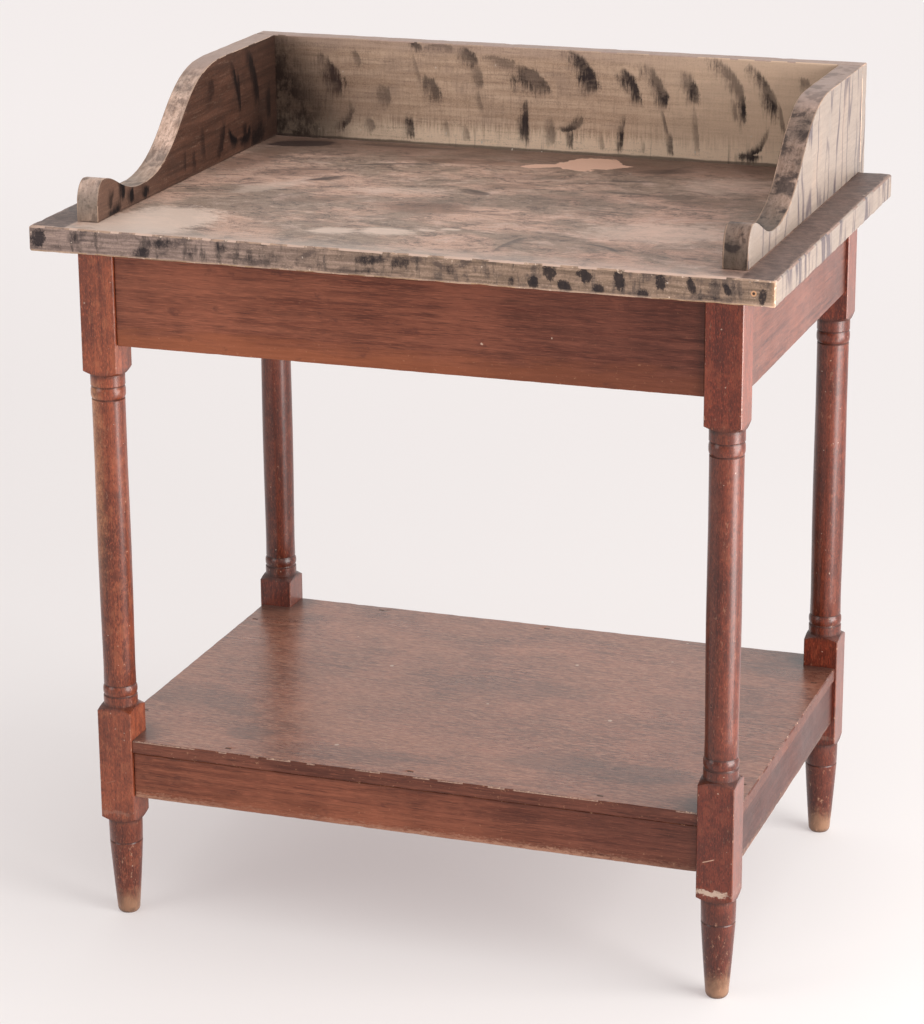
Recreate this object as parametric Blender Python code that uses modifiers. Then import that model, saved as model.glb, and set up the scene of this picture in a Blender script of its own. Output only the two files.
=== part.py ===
"""Washstand with turned legs, a shelf and a three-sided gallery round its top.

Metres, +Z up. The front faces -Y. The origin is on the floor, in the middle
of the washstand's overall width and depth. Every piece is a solid of its
own, and pieces that touch are JOINT_GAP apart.
"""

import math

import bmesh
import bpy
from mathutils import Matrix, Vector

# Clearances and cutting allowances
JOINT_GAP = 0.0003
OVERRUN = 0.002
WELD = 0.00001

# Frame: the rectangle of the legs' outer faces
FRAME_WIDTH = 0.692
FRAME_DEPTH = 0.484

# Top board
TOP_HEIGHT = 0.760
TOP_THICKNESS = 0.026
TOP_SIDE_OVERHANG = 0.038
TOP_FRONT_OVERHANG = 0.031
TOP_ARRIS = 0.0015

# Gallery boards
GALLERY_HEIGHT = 0.1135
GALLERY_SIDE_INSET = 0.037
GALLERY_OFF_CENTRE = 0.002
GALLERY_FRONT_INSET = 0.0315
GALLERY_ARRIS = 0.0010
LEFT_SIDE_THICKNESS = 0.0235
RIGHT_SIDE_THICKNESS = 0.0255
BACK_THICKNESS = 0.0205
BACK_OVERHANG = 0.009

# Shaped edge of the gallery sides, from the front end back
NOSE_FACE_HEIGHT = 0.012
NOSE_DEPTH = 0.018
NOSE_HEIGHT = 0.041
NECK_DEPTH = 0.104
NECK_HEIGHT = 0.0175
SWEEP_DEPTH = 0.2095
SWEEP_HEIGHT = 0.063
SHOULDER_DEPTH = 0.325
ROUND_HANDLE_SHARE = 0.55
NOSE_HANDLE_SHARE = 0.30
NECK_HANDLE_SHARES = (0.50, 0.47)
SWEEP_HANDLE_SHARES = (0.33, 0.39)
SHOULDER_HANDLE_SHARE = 0.48
SWEEP_SLOPE_SHARE = 0.96
CURVE_STEPS = 10

# Legs
LEG_SIDE = 0.038
LEG_ARRIS = 0.0008
LEG_FACETS = 24
UPPER_BLOCK_HEIGHT = 0.1295
LOWER_BLOCK_BOTTOM = 0.1135
LOWER_BLOCK_HEIGHT = 0.1205
SHOULDER_DROP = 0.0050
NECK_RADIUS = 0.0179
BEAD_RADIUS = 0.0181
GROOVE_RADIUS = 0.0167
FINE_GROOVE_RADIUS = 0.0172
GROOVE_WIDTH = 0.0022
UPPER_NECK_LENGTH = 0.0115
UPPER_BEAD_LENGTH = 0.0108
LOWER_NECK_LENGTH = 0.0095
LOWER_BEAD_LENGTH = 0.0095
SHAFT_WAIST_RADIUS = 0.01675
SHAFT_BELLY_RADIUS = 0.0176
FOOT_COLLAR_RADIUS = 0.0180
FOOT_COLLAR_LENGTH = 0.024
FOOT_TOP_RADIUS = 0.0176
FOOT_END_RADIUS = 0.0119
FOOT_TIP_RADIUS = 0.0095
FOOT_TIP_HEIGHT = 0.004

# Shaft from its upper to its lower end: share of the length still below,
# and share of the way from the waist's radius to the belly's
SHAFT_SHARES = (
    (1.0, 0.60),
    (0.77, 0.42),
    (0.62, 0.78),
    (0.48, 1.0),
    (0.32, 0.78),
    (0.19, 0.35),
    (0.065, 0.0),
    (0.0, 0.35),
)
# Bead from its top: share of the length, and of the rise out of the groove
BEAD_SHARES = (
    (0.0, 0.30),
    (0.20, 0.85),
    (0.50, 1.0),
    (0.80, 0.85),
    (1.0, 0.30),
)
# Foot from its top: share of the length, and of the way in to its end radius
FOOT_SHARES = (
    (0.0, 0.0),
    (0.25, 0.22),
    (0.50, 0.46),
    (0.75, 0.72),
    (1.0, 1.0),
)
# Rounded tip of the foot: share of its height, and of the way out from the floor
TIP_SHARES = (
    (0.45, 0.62),
    (0.0, 0.0),
)

# Aprons under the top
APRON_HEIGHT = 0.101
APRON_THICKNESS = 0.022
APRON_SET_BACK = 0.0035
APRON_TENON_HEIGHT = 0.076
APRON_TENON_DROP = 0.0125

# Shelf and its rails
SHELF_HEIGHT = 0.2037
SHELF_THICKNESS = 0.0145
SHELF_SET_BACK = 0.0018
SHELF_ARRIS = 0.0012
RAIL_HEIGHT = 0.050
RAIL_THICKNESS = 0.020
RAIL_SET_BACK = 0.004
RAIL_TENON_HEIGHT = 0.034
RAIL_TENON_DROP = 0.008

# Tenons and arrises of aprons and rails
TENON_THICKNESS = 0.008
TENON_LENGTH = 0.016
RAIL_ARRIS = 0.0008

# Glue blocks under the top, placed by shares of the clear length of an apron
BLOCK_SIDE = 0.022
BLOCK_LENGTH = 0.060
LONG_BLOCK_SHARES = (-0.32, 0.0, 0.32)
SHORT_BLOCK_SHARES = (-0.25, 0.25)

# T-headed cut nails, placed by shares of the length that they hold
NAIL_THICKNESS = 0.0024
NAIL_SHANK_WIDTH = 0.0026
NAIL_HEAD_WIDTH = 0.0060
NAIL_HEAD_DEPTH = 0.0018
NAIL_HEAD_SLOPE = 0.0006
BACK_NAIL_LENGTH = 0.045
GALLERY_NAIL_LENGTH = 0.044
SHELF_NAIL_LENGTH = 0.032
BACK_NAIL_SHARES = (0.27, 0.75)
EDGE_NAIL_SHARES = (-0.40, -0.20, 0.0, 0.20, 0.40)
GALLERY_NAIL_SHARES = (0.045, 0.50, 0.88)
LONG_SHELF_NAIL_SHARES = (-0.33, 0.0, 0.33)
SHORT_SHELF_NAIL_SHARES = (-0.375, 0.375)

# Heights and places worked out from the sizes above
TOP_UNDERSIDE = TOP_HEIGHT - TOP_THICKNESS
FRAME_TOP = TOP_UNDERSIDE - JOINT_GAP
UPPER_BLOCK_BOTTOM = TOP_UNDERSIDE - UPPER_BLOCK_HEIGHT
LOWER_BLOCK_TOP = LOWER_BLOCK_BOTTOM + LOWER_BLOCK_HEIGHT
SHELF_UNDERSIDE = SHELF_HEIGHT - SHELF_THICKNESS
RAIL_TOP = SHELF_UNDERSIDE - JOINT_GAP
TOP_WIDTH = FRAME_WIDTH + 2 * TOP_SIDE_OVERHANG
OVERALL_DEPTH = TOP_FRONT_OVERHANG + FRAME_DEPTH + BACK_OVERHANG
TOP_FRONT = -OVERALL_DEPTH / 2
FRAME_FRONT = TOP_FRONT + TOP_FRONT_OVERHANG
FRAME_REAR = FRAME_FRONT + FRAME_DEPTH
FRAME_MIDDLE = (FRAME_FRONT + FRAME_REAR) / 2
BACK_REAR = OVERALL_DEPTH / 2
BACK_FRONT = BACK_REAR - BACK_THICKNESS
TOP_REAR = BACK_FRONT - JOINT_GAP
GALLERY_WIDTH = TOP_WIDTH - 2 * GALLERY_SIDE_INSET
GALLERY_FRONT = TOP_FRONT + GALLERY_FRONT_INSET
GALLERY_LENGTH = TOP_REAR - GALLERY_FRONT
GALLERY_BOTTOM = TOP_HEIGHT + JOINT_GAP
GALLERY_TOP = GALLERY_BOTTOM + GALLERY_HEIGHT
LEFT_SIDE_MIDDLE = GALLERY_OFF_CENTRE - (GALLERY_WIDTH - LEFT_SIDE_THICKNESS) / 2
RIGHT_SIDE_MIDDLE = GALLERY_OFF_CENTRE + (GALLERY_WIDTH - RIGHT_SIDE_THICKNESS) / 2
CORNER_RADIUS = LEG_SIDE / math.sqrt(2)
LEG_ACROSS = (FRAME_WIDTH - LEG_SIDE) / 2
LEG_ALONG = (FRAME_DEPTH - LEG_SIDE) / 2
CLEAR_WIDTH = FRAME_WIDTH - 2 * LEG_SIDE
CLEAR_DEPTH = FRAME_DEPTH - 2 * LEG_SIDE
CORNERS = ((-1, -1), (1, -1), (-1, 1), (1, 1))


def start_scene():
    """Empty the scene, and add collections for the parts and the cutters."""
    for old in list(bpy.data.objects):
        bpy.data.objects.remove(old, do_unlink=True)
    parts = bpy.data.collections.new("washstand")
    cutters = bpy.data.collections.new("cutters")
    bpy.context.scene.collection.children.link(parts)
    bpy.context.scene.collection.children.link(cutters)
    return parts, cutters


PARTS, CUTTERS = start_scene()


def finish(name, colour, roughness, metallic=0.0):
    """Make a plain material."""
    material = bpy.data.materials.new(name)
    material.use_nodes = True
    shader = material.node_tree.nodes["Principled BSDF"]
    shader.inputs["Base Color"].default_value = (*colour, 1.0)
    shader.inputs["Roughness"].default_value = roughness
    shader.inputs["Metallic"].default_value = metallic
    return material


# Finishes: stained hardwood frame, painted top and gallery, pine and iron
LEG_FINISH = finish("leg_stain", (0.23, 0.075, 0.045), 0.35)
APRON_FINISH = finish("apron_stain", (0.27, 0.090, 0.050), 0.38)
SHELF_FINISH = finish("shelf_stain", (0.22, 0.130, 0.100), 0.45)
TOP_FINISH = finish("top_paint", (0.30, 0.225, 0.175), 0.50)
GALLERY_FINISH = finish("gallery_paint", (0.36, 0.240, 0.145), 0.50)
BLOCK_FINISH = finish("bare_pine", (0.42, 0.270, 0.140), 0.75)
NAIL_FINISH = finish("iron", (0.10, 0.085, 0.075), 0.55, 0.85)


def add_part(name, mesh, material):
    """Put a mesh in the model as a named piece."""
    part = bpy.data.objects.new(name, mesh)
    mesh.materials.clear()
    mesh.materials.append(material)
    PARTS.objects.link(part)
    return part


def add_cutter(name, mesh):
    """Put a mesh among the cutters, out of sight."""
    cutter = bpy.data.objects.new(name, mesh)
    cutter.hide_render = True
    cutter.display_type = "WIRE"
    CUTTERS.objects.link(cutter)
    return cutter


def combine(part, other, operation):
    """Cut, join or intersect a piece with another solid."""
    change = part.modifiers.new(other.name, "BOOLEAN")
    change.operation = operation
    change.solver = "EXACT"
    change.object = other


def ease_edges(part, width):
    """Take the sharp arrises off a piece."""
    bevel = part.modifiers.new("eased edges", "BEVEL")
    bevel.width = width
    bevel.segments = 1
    bevel.limit_method = "ANGLE"


def mesh_from(shape, name):
    """Turn a bmesh into a named mesh."""
    mesh = bpy.data.meshes.new(name)
    shape.to_mesh(mesh)
    shape.free()
    return mesh


def mesh_of_boxes(name, boxes):
    """One mesh of boxes, each given by its size and its centre."""
    shape = bmesh.new()
    for size, centre in boxes:
        place = Matrix.Translation(centre) @ Matrix.Diagonal((*size, 1.0))
        bmesh.ops.create_cube(shape, size=1.0, matrix=place)
    return mesh_from(shape, name)


def board(name, size, centre, material, arris):
    """A rectangular board with eased edges."""
    part = add_part(name, mesh_of_boxes(name, [(size, (0, 0, 0))]), material)
    part.location = centre
    ease_edges(part, arris)
    return part


def flat_curve(name, thickness):
    """A closed flat outline, to be filled and extruded evenly both ways."""
    curve = bpy.data.curves.new(name, "CURVE")
    curve.dimensions = "2D"
    curve.fill_mode = "BOTH"
    curve.extrude = thickness / 2
    return curve


def outline_mesh(name, curve):
    """Turn a flat outline into a welded solid mesh, and remove the curve."""
    holder = bpy.data.objects.new(name, curve)
    bpy.context.scene.collection.objects.link(holder)
    bpy.context.view_layer.update()
    evaluated = holder.evaluated_get(bpy.context.evaluated_depsgraph_get())
    filled = bpy.data.meshes.new_from_object(evaluated)
    bpy.data.objects.remove(holder, do_unlink=True)
    shape = bmesh.new()
    shape.from_mesh(filled)
    bpy.data.meshes.remove(filled)
    bmesh.ops.remove_doubles(shape, verts=shape.verts, dist=WELD)
    bmesh.ops.recalc_face_normals(shape, faces=shape.faces)
    return mesh_from(shape, name)


def polygon_mesh(name, points, thickness):
    """A straight-sided flat outline with a thickness."""
    curve = flat_curve(name, thickness)
    spline = curve.splines.new("POLY")
    spline.points.add(len(points) - 1)
    for point, (across, along) in zip(spline.points, points):
        point.co = (across, along, 0, 1)
    spline.use_cyclic_u = True
    return outline_mesh(name, curve)


def copies(name, mesh, places):
    """One mesh made of a copy of another at each of several places."""
    shape = bmesh.new()
    for place in places:
        copy = mesh.copy()
        copy.transform(place)
        shape.from_mesh(copy)
        bpy.data.meshes.remove(copy)
    return mesh_from(shape, name)


def bead_points(top, length, groove_radius):
    """Radius and height points of a bead, from its top down."""
    rise = BEAD_RADIUS - groove_radius
    return [
        (groove_radius + rise * rise_share, top - length * length_share)
        for length_share, rise_share in BEAD_SHARES
    ]


def shoulder_points(neck_height, block_end):
    """The cone that a lathe leaves between a neck and a square block.

    It runs on past the block's corners, which the square stick cuts off.
    """
    slope = (block_end - neck_height) / (CORNER_RADIUS - NECK_RADIUS)
    outer = CORNER_RADIUS + OVERRUN
    return (NECK_RADIUS, neck_height), (outer, neck_height + slope * (outer - NECK_RADIUS))


def column_points():
    """Profile of the turned column between the two square blocks."""
    neck_end = UPPER_BLOCK_BOTTOM - SHOULDER_DROP
    neck, block = shoulder_points(neck_end, UPPER_BLOCK_BOTTOM)
    groove = neck_end - UPPER_NECK_LENGTH
    bead_top = groove - GROOVE_WIDTH
    bead_end = bead_top - UPPER_BEAD_LENGTH
    points = [block, neck, (NECK_RADIUS, groove)]
    points.append((FINE_GROOVE_RADIUS, groove - GROOVE_WIDTH / 2))
    points += bead_points(bead_top, UPPER_BEAD_LENGTH, FINE_GROOVE_RADIUS)
    points.append((GROOVE_RADIUS, bead_end - GROOVE_WIDTH / 2))

    lower_neck = LOWER_BLOCK_TOP + SHOULDER_DROP
    lower_groove = lower_neck + LOWER_NECK_LENGTH + GROOVE_WIDTH
    lower_bead_top = lower_groove + LOWER_BEAD_LENGTH
    shaft_top = bead_end - GROOVE_WIDTH
    shaft_bottom = lower_bead_top + GROOVE_WIDTH
    swell = SHAFT_BELLY_RADIUS - SHAFT_WAIST_RADIUS
    for height_share, swell_share in SHAFT_SHARES:
        radius = SHAFT_WAIST_RADIUS + swell * swell_share
        points.append((radius, shaft_bottom + (shaft_top - shaft_bottom) * height_share))

    points.append((GROOVE_RADIUS, shaft_bottom - GROOVE_WIDTH / 2))
    points += bead_points(lower_bead_top, LOWER_BEAD_LENGTH, GROOVE_RADIUS)
    points.append((FINE_GROOVE_RADIUS, lower_groove - GROOVE_WIDTH / 2))
    points.append((NECK_RADIUS, lower_groove - GROOVE_WIDTH))
    neck, block = shoulder_points(lower_neck, LOWER_BLOCK_TOP)
    return points + [neck, block]


def foot_points():
    """Profile of the turned foot: collar, fine groove, taper, rounded tip."""
    neck_end = LOWER_BLOCK_BOTTOM - SHOULDER_DROP
    neck, block = shoulder_points(neck_end, LOWER_BLOCK_BOTTOM)
    collar_end = neck_end - FOOT_COLLAR_LENGTH
    taper_top = collar_end - GROOVE_WIDTH
    points = [block, neck, (FOOT_COLLAR_RADIUS, neck_end - SHOULDER_DROP)]
    points.append((FOOT_TOP_RADIUS, collar_end))
    points.append((FINE_GROOVE_RADIUS, collar_end - GROOVE_WIDTH / 2))
    for length_share, taper_share in FOOT_SHARES:
        radius = FOOT_TOP_RADIUS + (FOOT_END_RADIUS - FOOT_TOP_RADIUS) * taper_share
        points.append((radius, taper_top + (FOOT_TIP_HEIGHT - taper_top) * length_share))
    for height_share, out_share in TIP_SHARES:
        radius = FOOT_TIP_RADIUS + (FOOT_END_RADIUS - FOOT_TIP_RADIUS) * out_share
        points.append((radius, FOOT_TIP_HEIGHT * height_share))
    return points


def leg_mesh(name):
    """The leg's profile, down its outer side from its top to the floor."""
    points = [(0, FRAME_TOP), (CORNER_RADIUS + OVERRUN, FRAME_TOP)]
    points += column_points()
    points += foot_points()
    points.append((0, 0))
    shape = bmesh.new()
    verts = [shape.verts.new((radius, 0, height)) for radius, height in points]
    for upper, lower in zip(verts, verts[1:]):
        shape.edges.new((upper, lower))
    return mesh_from(shape, name)


def socket_boxes(side, end):
    """Mortises of one leg: for two aprons and, below them, two shelf rails."""
    boxes = []
    for set_back, thickness, tenon_height, tenon_top in (
        (APRON_SET_BACK, APRON_THICKNESS, APRON_TENON_HEIGHT, FRAME_TOP - APRON_TENON_DROP),
        (RAIL_SET_BACK, RAIL_THICKNESS, RAIL_TENON_HEIGHT, RAIL_TOP - RAIL_TENON_DROP),
    ):
        length = TENON_LENGTH + JOINT_GAP + OVERRUN
        width = TENON_THICKNESS + 2 * JOINT_GAP
        height = tenon_height + 2 * JOINT_GAP
        reach = LEG_SIDE / 2 + OVERRUN - length / 2
        off = LEG_SIDE / 2 - set_back - thickness / 2
        middle = tenon_top - tenon_height / 2
        boxes.append(((length, width, height), (-side * reach, end * off, middle)))
        boxes.append(((width, length, height), (side * off, -end * reach, middle)))
    return boxes


def leg(name, side, end):
    """One leg, turned from a square stick, with its mortises cut."""
    part = add_part(name, leg_mesh(name), LEG_FINISH)
    part.location = (side * LEG_ACROSS, FRAME_MIDDLE + end * LEG_ALONG, 0)
    lathe = part.modifiers.new("turning", "SCREW")
    lathe.axis = "Z"
    lathe.steps = LEG_FACETS
    lathe.render_steps = LEG_FACETS
    lathe.use_merge_vertices = True
    lathe.merge_threshold = WELD

    stick_height = FRAME_TOP + 2 * OVERRUN
    stick_box = ((LEG_SIDE, LEG_SIDE, stick_height), (0, 0, FRAME_TOP / 2))
    stick = add_cutter(name + "_stick", mesh_of_boxes(name + "_stick", [stick_box]))
    stick.location = part.location
    ease_edges(stick, LEG_ARRIS)
    combine(part, stick, "INTERSECT")

    sockets_mesh = mesh_of_boxes(name + "_sockets", socket_boxes(side, end))
    sockets = add_cutter(name + "_sockets", sockets_mesh)
    sockets.location = part.location
    combine(part, sockets, "DIFFERENCE")
    return part


for words, (side, end) in zip(("Front_left", "Front_right", "Rear_left", "Rear_right"), CORNERS):
    leg(words + "_leg", side, end)


def tenoned_rail(name, run, section, tenon, centre, turned, material):
    """A rail between two legs with a tenon on each end.

    run is the clear length between the legs, section the rail's thickness
    and height, tenon the tenons' height and their drop below the rail's top.
    A turned rail runs along Y.
    """
    thickness, height = section
    tenon_height, tenon_drop = tenon
    part = board(name, (run - 2 * JOINT_GAP, thickness, height), centre, material, RAIL_ARRIS)
    bar_size = (run + 2 * TENON_LENGTH, TENON_THICKNESS, tenon_height)
    bar_centre = (0, 0, height / 2 - tenon_drop - tenon_height / 2)
    bar = add_cutter(name + "_tenons", mesh_of_boxes(name + "_tenons", [(bar_size, bar_centre)]))
    bar.location = centre
    if turned:
        part.rotation_euler.z = math.pi / 2
        bar.rotation_euler.z = math.pi / 2
    combine(part, bar, "UNION")
    return part


def rail_frame(kind, section, set_back, tenon, top, material):
    """Four aprons or four shelf rails, one between each pair of legs."""
    thickness, height = section
    across = FRAME_WIDTH / 2 - set_back - thickness / 2
    along = FRAME_DEPTH / 2 - set_back - thickness / 2
    middle = top - height / 2
    made = []
    for side, run, x, y, turned in (
        ("Front", CLEAR_WIDTH, 0, FRAME_MIDDLE - along, False),
        ("Rear", CLEAR_WIDTH, 0, FRAME_MIDDLE + along, False),
        ("Left", CLEAR_DEPTH, -across, FRAME_MIDDLE, True),
        ("Right", CLEAR_DEPTH, across, FRAME_MIDDLE, True),
    ):
        name = side + "_" + kind
        made.append(tenoned_rail(name, run, section, tenon, (x, y, middle), turned, material))
    return made


rail_frame(
    "apron",
    (APRON_THICKNESS, APRON_HEIGHT),
    APRON_SET_BACK,
    (APRON_TENON_HEIGHT, APRON_TENON_DROP),
    FRAME_TOP,
    APRON_FINISH,
)
SHELF_RAILS = rail_frame(
    "shelf_rail",
    (RAIL_THICKNESS, RAIL_HEIGHT),
    RAIL_SET_BACK,
    (RAIL_TENON_HEIGHT, RAIL_TENON_DROP),
    RAIL_TOP,
    APRON_FINISH,
)


def shelf_board():
    """The shelf, notched round the four legs."""
    width = FRAME_WIDTH - 2 * SHELF_SET_BACK
    depth = FRAME_DEPTH - 2 * SHELF_SET_BACK
    middle = SHELF_HEIGHT - SHELF_THICKNESS / 2
    size = (width, depth, SHELF_THICKNESS)
    part = board("Shelf_board", size, (0, FRAME_MIDDLE, middle), SHELF_FINISH, SHELF_ARRIS)
    notch_side = LEG_SIDE + 2 * JOINT_GAP
    notch_size = (notch_side, notch_side, SHELF_THICKNESS + 2 * OVERRUN)
    boxes = [(notch_size, (side * LEG_ACROSS, end * LEG_ALONG, 0)) for side, end in CORNERS]
    notches = add_cutter("Shelf_notches", mesh_of_boxes("Shelf_notches", boxes))
    notches.location = part.location
    combine(part, notches, "DIFFERENCE")
    return part


SHELF = shelf_board()
TOP = board(
    "Top_board",
    (TOP_WIDTH, TOP_REAR - TOP_FRONT, TOP_THICKNESS),
    (0, (TOP_FRONT + TOP_REAR) / 2, TOP_HEIGHT - TOP_THICKNESS / 2),
    TOP_FINISH,
    TOP_ARRIS,
)
BACK = board(
    "Back_board",
    (GALLERY_WIDTH, BACK_THICKNESS, GALLERY_TOP - TOP_UNDERSIDE),
    (GALLERY_OFF_CENTRE, (BACK_FRONT + BACK_REAR) / 2, (TOP_UNDERSIDE + GALLERY_TOP) / 2),
    GALLERY_FINISH,
    GALLERY_ARRIS,
)


def gallery_side_knots():
    """Knots of the shaped outline, each with its handles before and after.

    Depth runs back from the front end and height up from the top board. A
    handle is counted from its knot, and None stands for a straight side.
    """
    round_up = (NOSE_HEIGHT - NOSE_FACE_HEIGHT) * ROUND_HANDLE_SHARE
    round_in = NOSE_DEPTH * ROUND_HANDLE_SHARE
    nose_run = NECK_DEPTH - NOSE_DEPTH
    neck_run = SWEEP_DEPTH - NECK_DEPTH
    sweep_run = SHOULDER_DEPTH - SWEEP_DEPTH
    slope = Vector((1.0, SWEEP_SLOPE_SHARE)).normalized()
    return (
        (Vector((0, 0)), None, None),
        (Vector((0, NOSE_FACE_HEIGHT)), None, Vector((0, round_up))),
        (
            Vector((NOSE_DEPTH, NOSE_HEIGHT)),
            Vector((-round_in, 0)),
            Vector((nose_run * NOSE_HANDLE_SHARE, 0)),
        ),
        (
            Vector((NECK_DEPTH, NECK_HEIGHT)),
            Vector((-nose_run * NECK_HANDLE_SHARES[0], 0)),
            Vector((neck_run * NECK_HANDLE_SHARES[1], 0)),
        ),
        (
            Vector((SWEEP_DEPTH, SWEEP_HEIGHT)),
            -slope * neck_run * SWEEP_HANDLE_SHARES[0],
            slope * sweep_run * SWEEP_HANDLE_SHARES[1],
        ),
        (
            Vector((SHOULDER_DEPTH, GALLERY_HEIGHT)),
            Vector((-sweep_run * SHOULDER_HANDLE_SHARE, 0)),
            None,
        ),
        (Vector((GALLERY_LENGTH, GALLERY_HEIGHT)), None, None),
        (Vector((GALLERY_LENGTH, 0)), None, None),
    )


def gallery_side(name, thickness, middle):
    """A gallery side board with its shaped upper edge, on edge on the top."""
    curve = flat_curve(name, thickness)
    curve.resolution_u = CURVE_STEPS
    spline = curve.splines.new("BEZIER")
    knots = gallery_side_knots()
    spline.bezier_points.add(len(knots) - 1)
    for point, (knot, before, after) in zip(spline.bezier_points, knots):
        point.co = knot.to_3d()
        point.handle_left_type = "FREE" if before else "VECTOR"
        point.handle_right_type = "FREE" if after else "VECTOR"
        if before:
            point.handle_left = (knot + before).to_3d()
        if after:
            point.handle_right = (knot + after).to_3d()
    spline.use_cyclic_u = True
    part = add_part(name, outline_mesh(name, curve), GALLERY_FINISH)
    part.location = (middle, GALLERY_FRONT, GALLERY_BOTTOM)
    part.rotation_euler = (math.pi / 2, 0, math.pi / 2)
    ease_edges(part, GALLERY_ARRIS)
    return part


LEFT_SIDE = gallery_side("Left_gallery_side", LEFT_SIDE_THICKNESS, LEFT_SIDE_MIDDLE)
RIGHT_SIDE = gallery_side("Right_gallery_side", RIGHT_SIDE_THICKNESS, RIGHT_SIDE_MIDDLE)


def glue_blocks():
    """Three-cornered blocks glued in the angle between aprons and top."""
    corner_points = [(0, 0), (0, -BLOCK_SIDE), (BLOCK_SIDE, 0)]
    block = polygon_mesh("Glue_block", corner_points, BLOCK_LENGTH)
    inside = APRON_SET_BACK + APRON_THICKNESS + JOINT_GAP
    across = FRAME_WIDTH / 2 - inside
    along = FRAME_DEPTH / 2 - inside
    height = TOP_UNDERSIDE - JOINT_GAP
    spots = []
    for share in LONG_BLOCK_SHARES:
        x = CLEAR_WIDTH * share
        spots.append(((x, FRAME_MIDDLE - along, height), math.pi / 2))
        spots.append(((x, FRAME_MIDDLE + along, height), -math.pi / 2))
    for share in SHORT_BLOCK_SHARES:
        y = FRAME_MIDDLE + CLEAR_DEPTH * share
        spots.append(((-across, y, height), 0))
        spots.append(((across, y, height), math.pi))
    upright = Matrix.Rotation(math.pi / 2, 4, "X")
    for number, (corner, turn) in enumerate(spots, 1):
        part = add_part(f"Glue_block_{number}", block, BLOCK_FINISH)
        part.matrix_world = (
            Matrix.Translation(corner) @ Matrix.Rotation(turn, 4, "Z") @ upright
        )


glue_blocks()


def nail_outline(length, room, above):
    """Flat outline of a T-headed nail, the top of its head at height zero.

    room widens it all round for its hole, which runs on above the head.
    """
    head = NAIL_HEAD_WIDTH / 2 + room
    shank = NAIL_SHANK_WIDTH / 2 + room
    under_head = -NAIL_HEAD_DEPTH - room
    shank_top = under_head - NAIL_HEAD_SLOPE
    point = -length - room
    return [
        (-head, above),
        (-head, under_head),
        (-shank, shank_top),
        (-shank, point),
        (shank, point),
        (shank, shank_top),
        (head, under_head),
        (head, above),
    ]


def drive_nails(name, length, places, pieces):
    """A set of nails, and their holes in the pieces that they hold.

    A place has its origin at the top of the head and its +Y pointing back
    out of the wood.
    """
    nail = polygon_mesh(name, nail_outline(length, 0, 0), NAIL_THICKNESS)
    for number, place in enumerate(places, 1):
        part = add_part(f"{name}_{number}", nail, NAIL_FINISH)
        part.matrix_world = place
    hole_points = nail_outline(length, JOINT_GAP, OVERRUN)
    hole = polygon_mesh(name + "_hole", hole_points, NAIL_THICKNESS + 2 * JOINT_GAP)
    holes = add_cutter(name + "_holes", copies(name + "_holes", hole, places))
    for piece in pieces:
        combine(piece, holes, "DIFFERENCE")


def back_nail_places():
    """Nails from behind, into the gallery sides and the top's rear edge."""
    upright_head = Matrix.Rotation(math.pi / 2, 4, "Y")
    spots = []
    for share in BACK_NAIL_SHARES:
        z = GALLERY_BOTTOM + GALLERY_HEIGHT * share
        spots.append((LEFT_SIDE_MIDDLE, z))
        spots.append((RIGHT_SIDE_MIDDLE, z))
    for share in EDGE_NAIL_SHARES:
        spots.append((GALLERY_OFF_CENTRE + GALLERY_WIDTH * share, TOP_HEIGHT - TOP_THICKNESS / 2))
    return [Matrix.Translation((x, BACK_REAR, z)) @ upright_head for x, z in spots]


def gallery_nail_places():
    """Nails up through the top, into the lower edges of the gallery sides."""
    pointing_down = Matrix.Rotation(-math.pi / 2, 4, "X")
    places = []
    for x in (LEFT_SIDE_MIDDLE, RIGHT_SIDE_MIDDLE):
        for share in GALLERY_NAIL_SHARES:
            y = GALLERY_FRONT + GALLERY_LENGTH * share
            places.append(Matrix.Translation((x, y, TOP_UNDERSIDE)) @ pointing_down)
    return places


def shelf_nail_places():
    """Nails down through the shelf, into the middles of its rails."""
    pointing_up = Matrix.Rotation(math.pi / 2, 4, "X")
    inside = RAIL_SET_BACK + RAIL_THICKNESS / 2
    across = FRAME_WIDTH / 2 - inside
    along = FRAME_DEPTH / 2 - inside
    spots = []
    for end in (-1, 1):
        for share in LONG_SHELF_NAIL_SHARES:
            spots.append((CLEAR_WIDTH * share, FRAME_MIDDLE + end * along))
    for side in (-1, 1):
        for share in SHORT_SHELF_NAIL_SHARES:
            spots.append((side * across, FRAME_MIDDLE + CLEAR_DEPTH * share))
    return [Matrix.Translation((x, y, SHELF_HEIGHT)) @ pointing_up for x, y in spots]


drive_nails(
    "Back_board_nail",
    BACK_NAIL_LENGTH,
    back_nail_places(),
    (BACK, TOP, LEFT_SIDE, RIGHT_SIDE),
)
drive_nails(
    "Gallery_side_nail",
    GALLERY_NAIL_LENGTH,
    gallery_nail_places(),
    (TOP, LEFT_SIDE, RIGHT_SIDE),
)
drive_nails("Shelf_nail", SHELF_NAIL_LENGTH, shelf_nail_places(), (SHELF, *SHELF_RAILS))
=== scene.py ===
import math

import bmesh
import bpy
from mathutils import Matrix, Vector, noise


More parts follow.
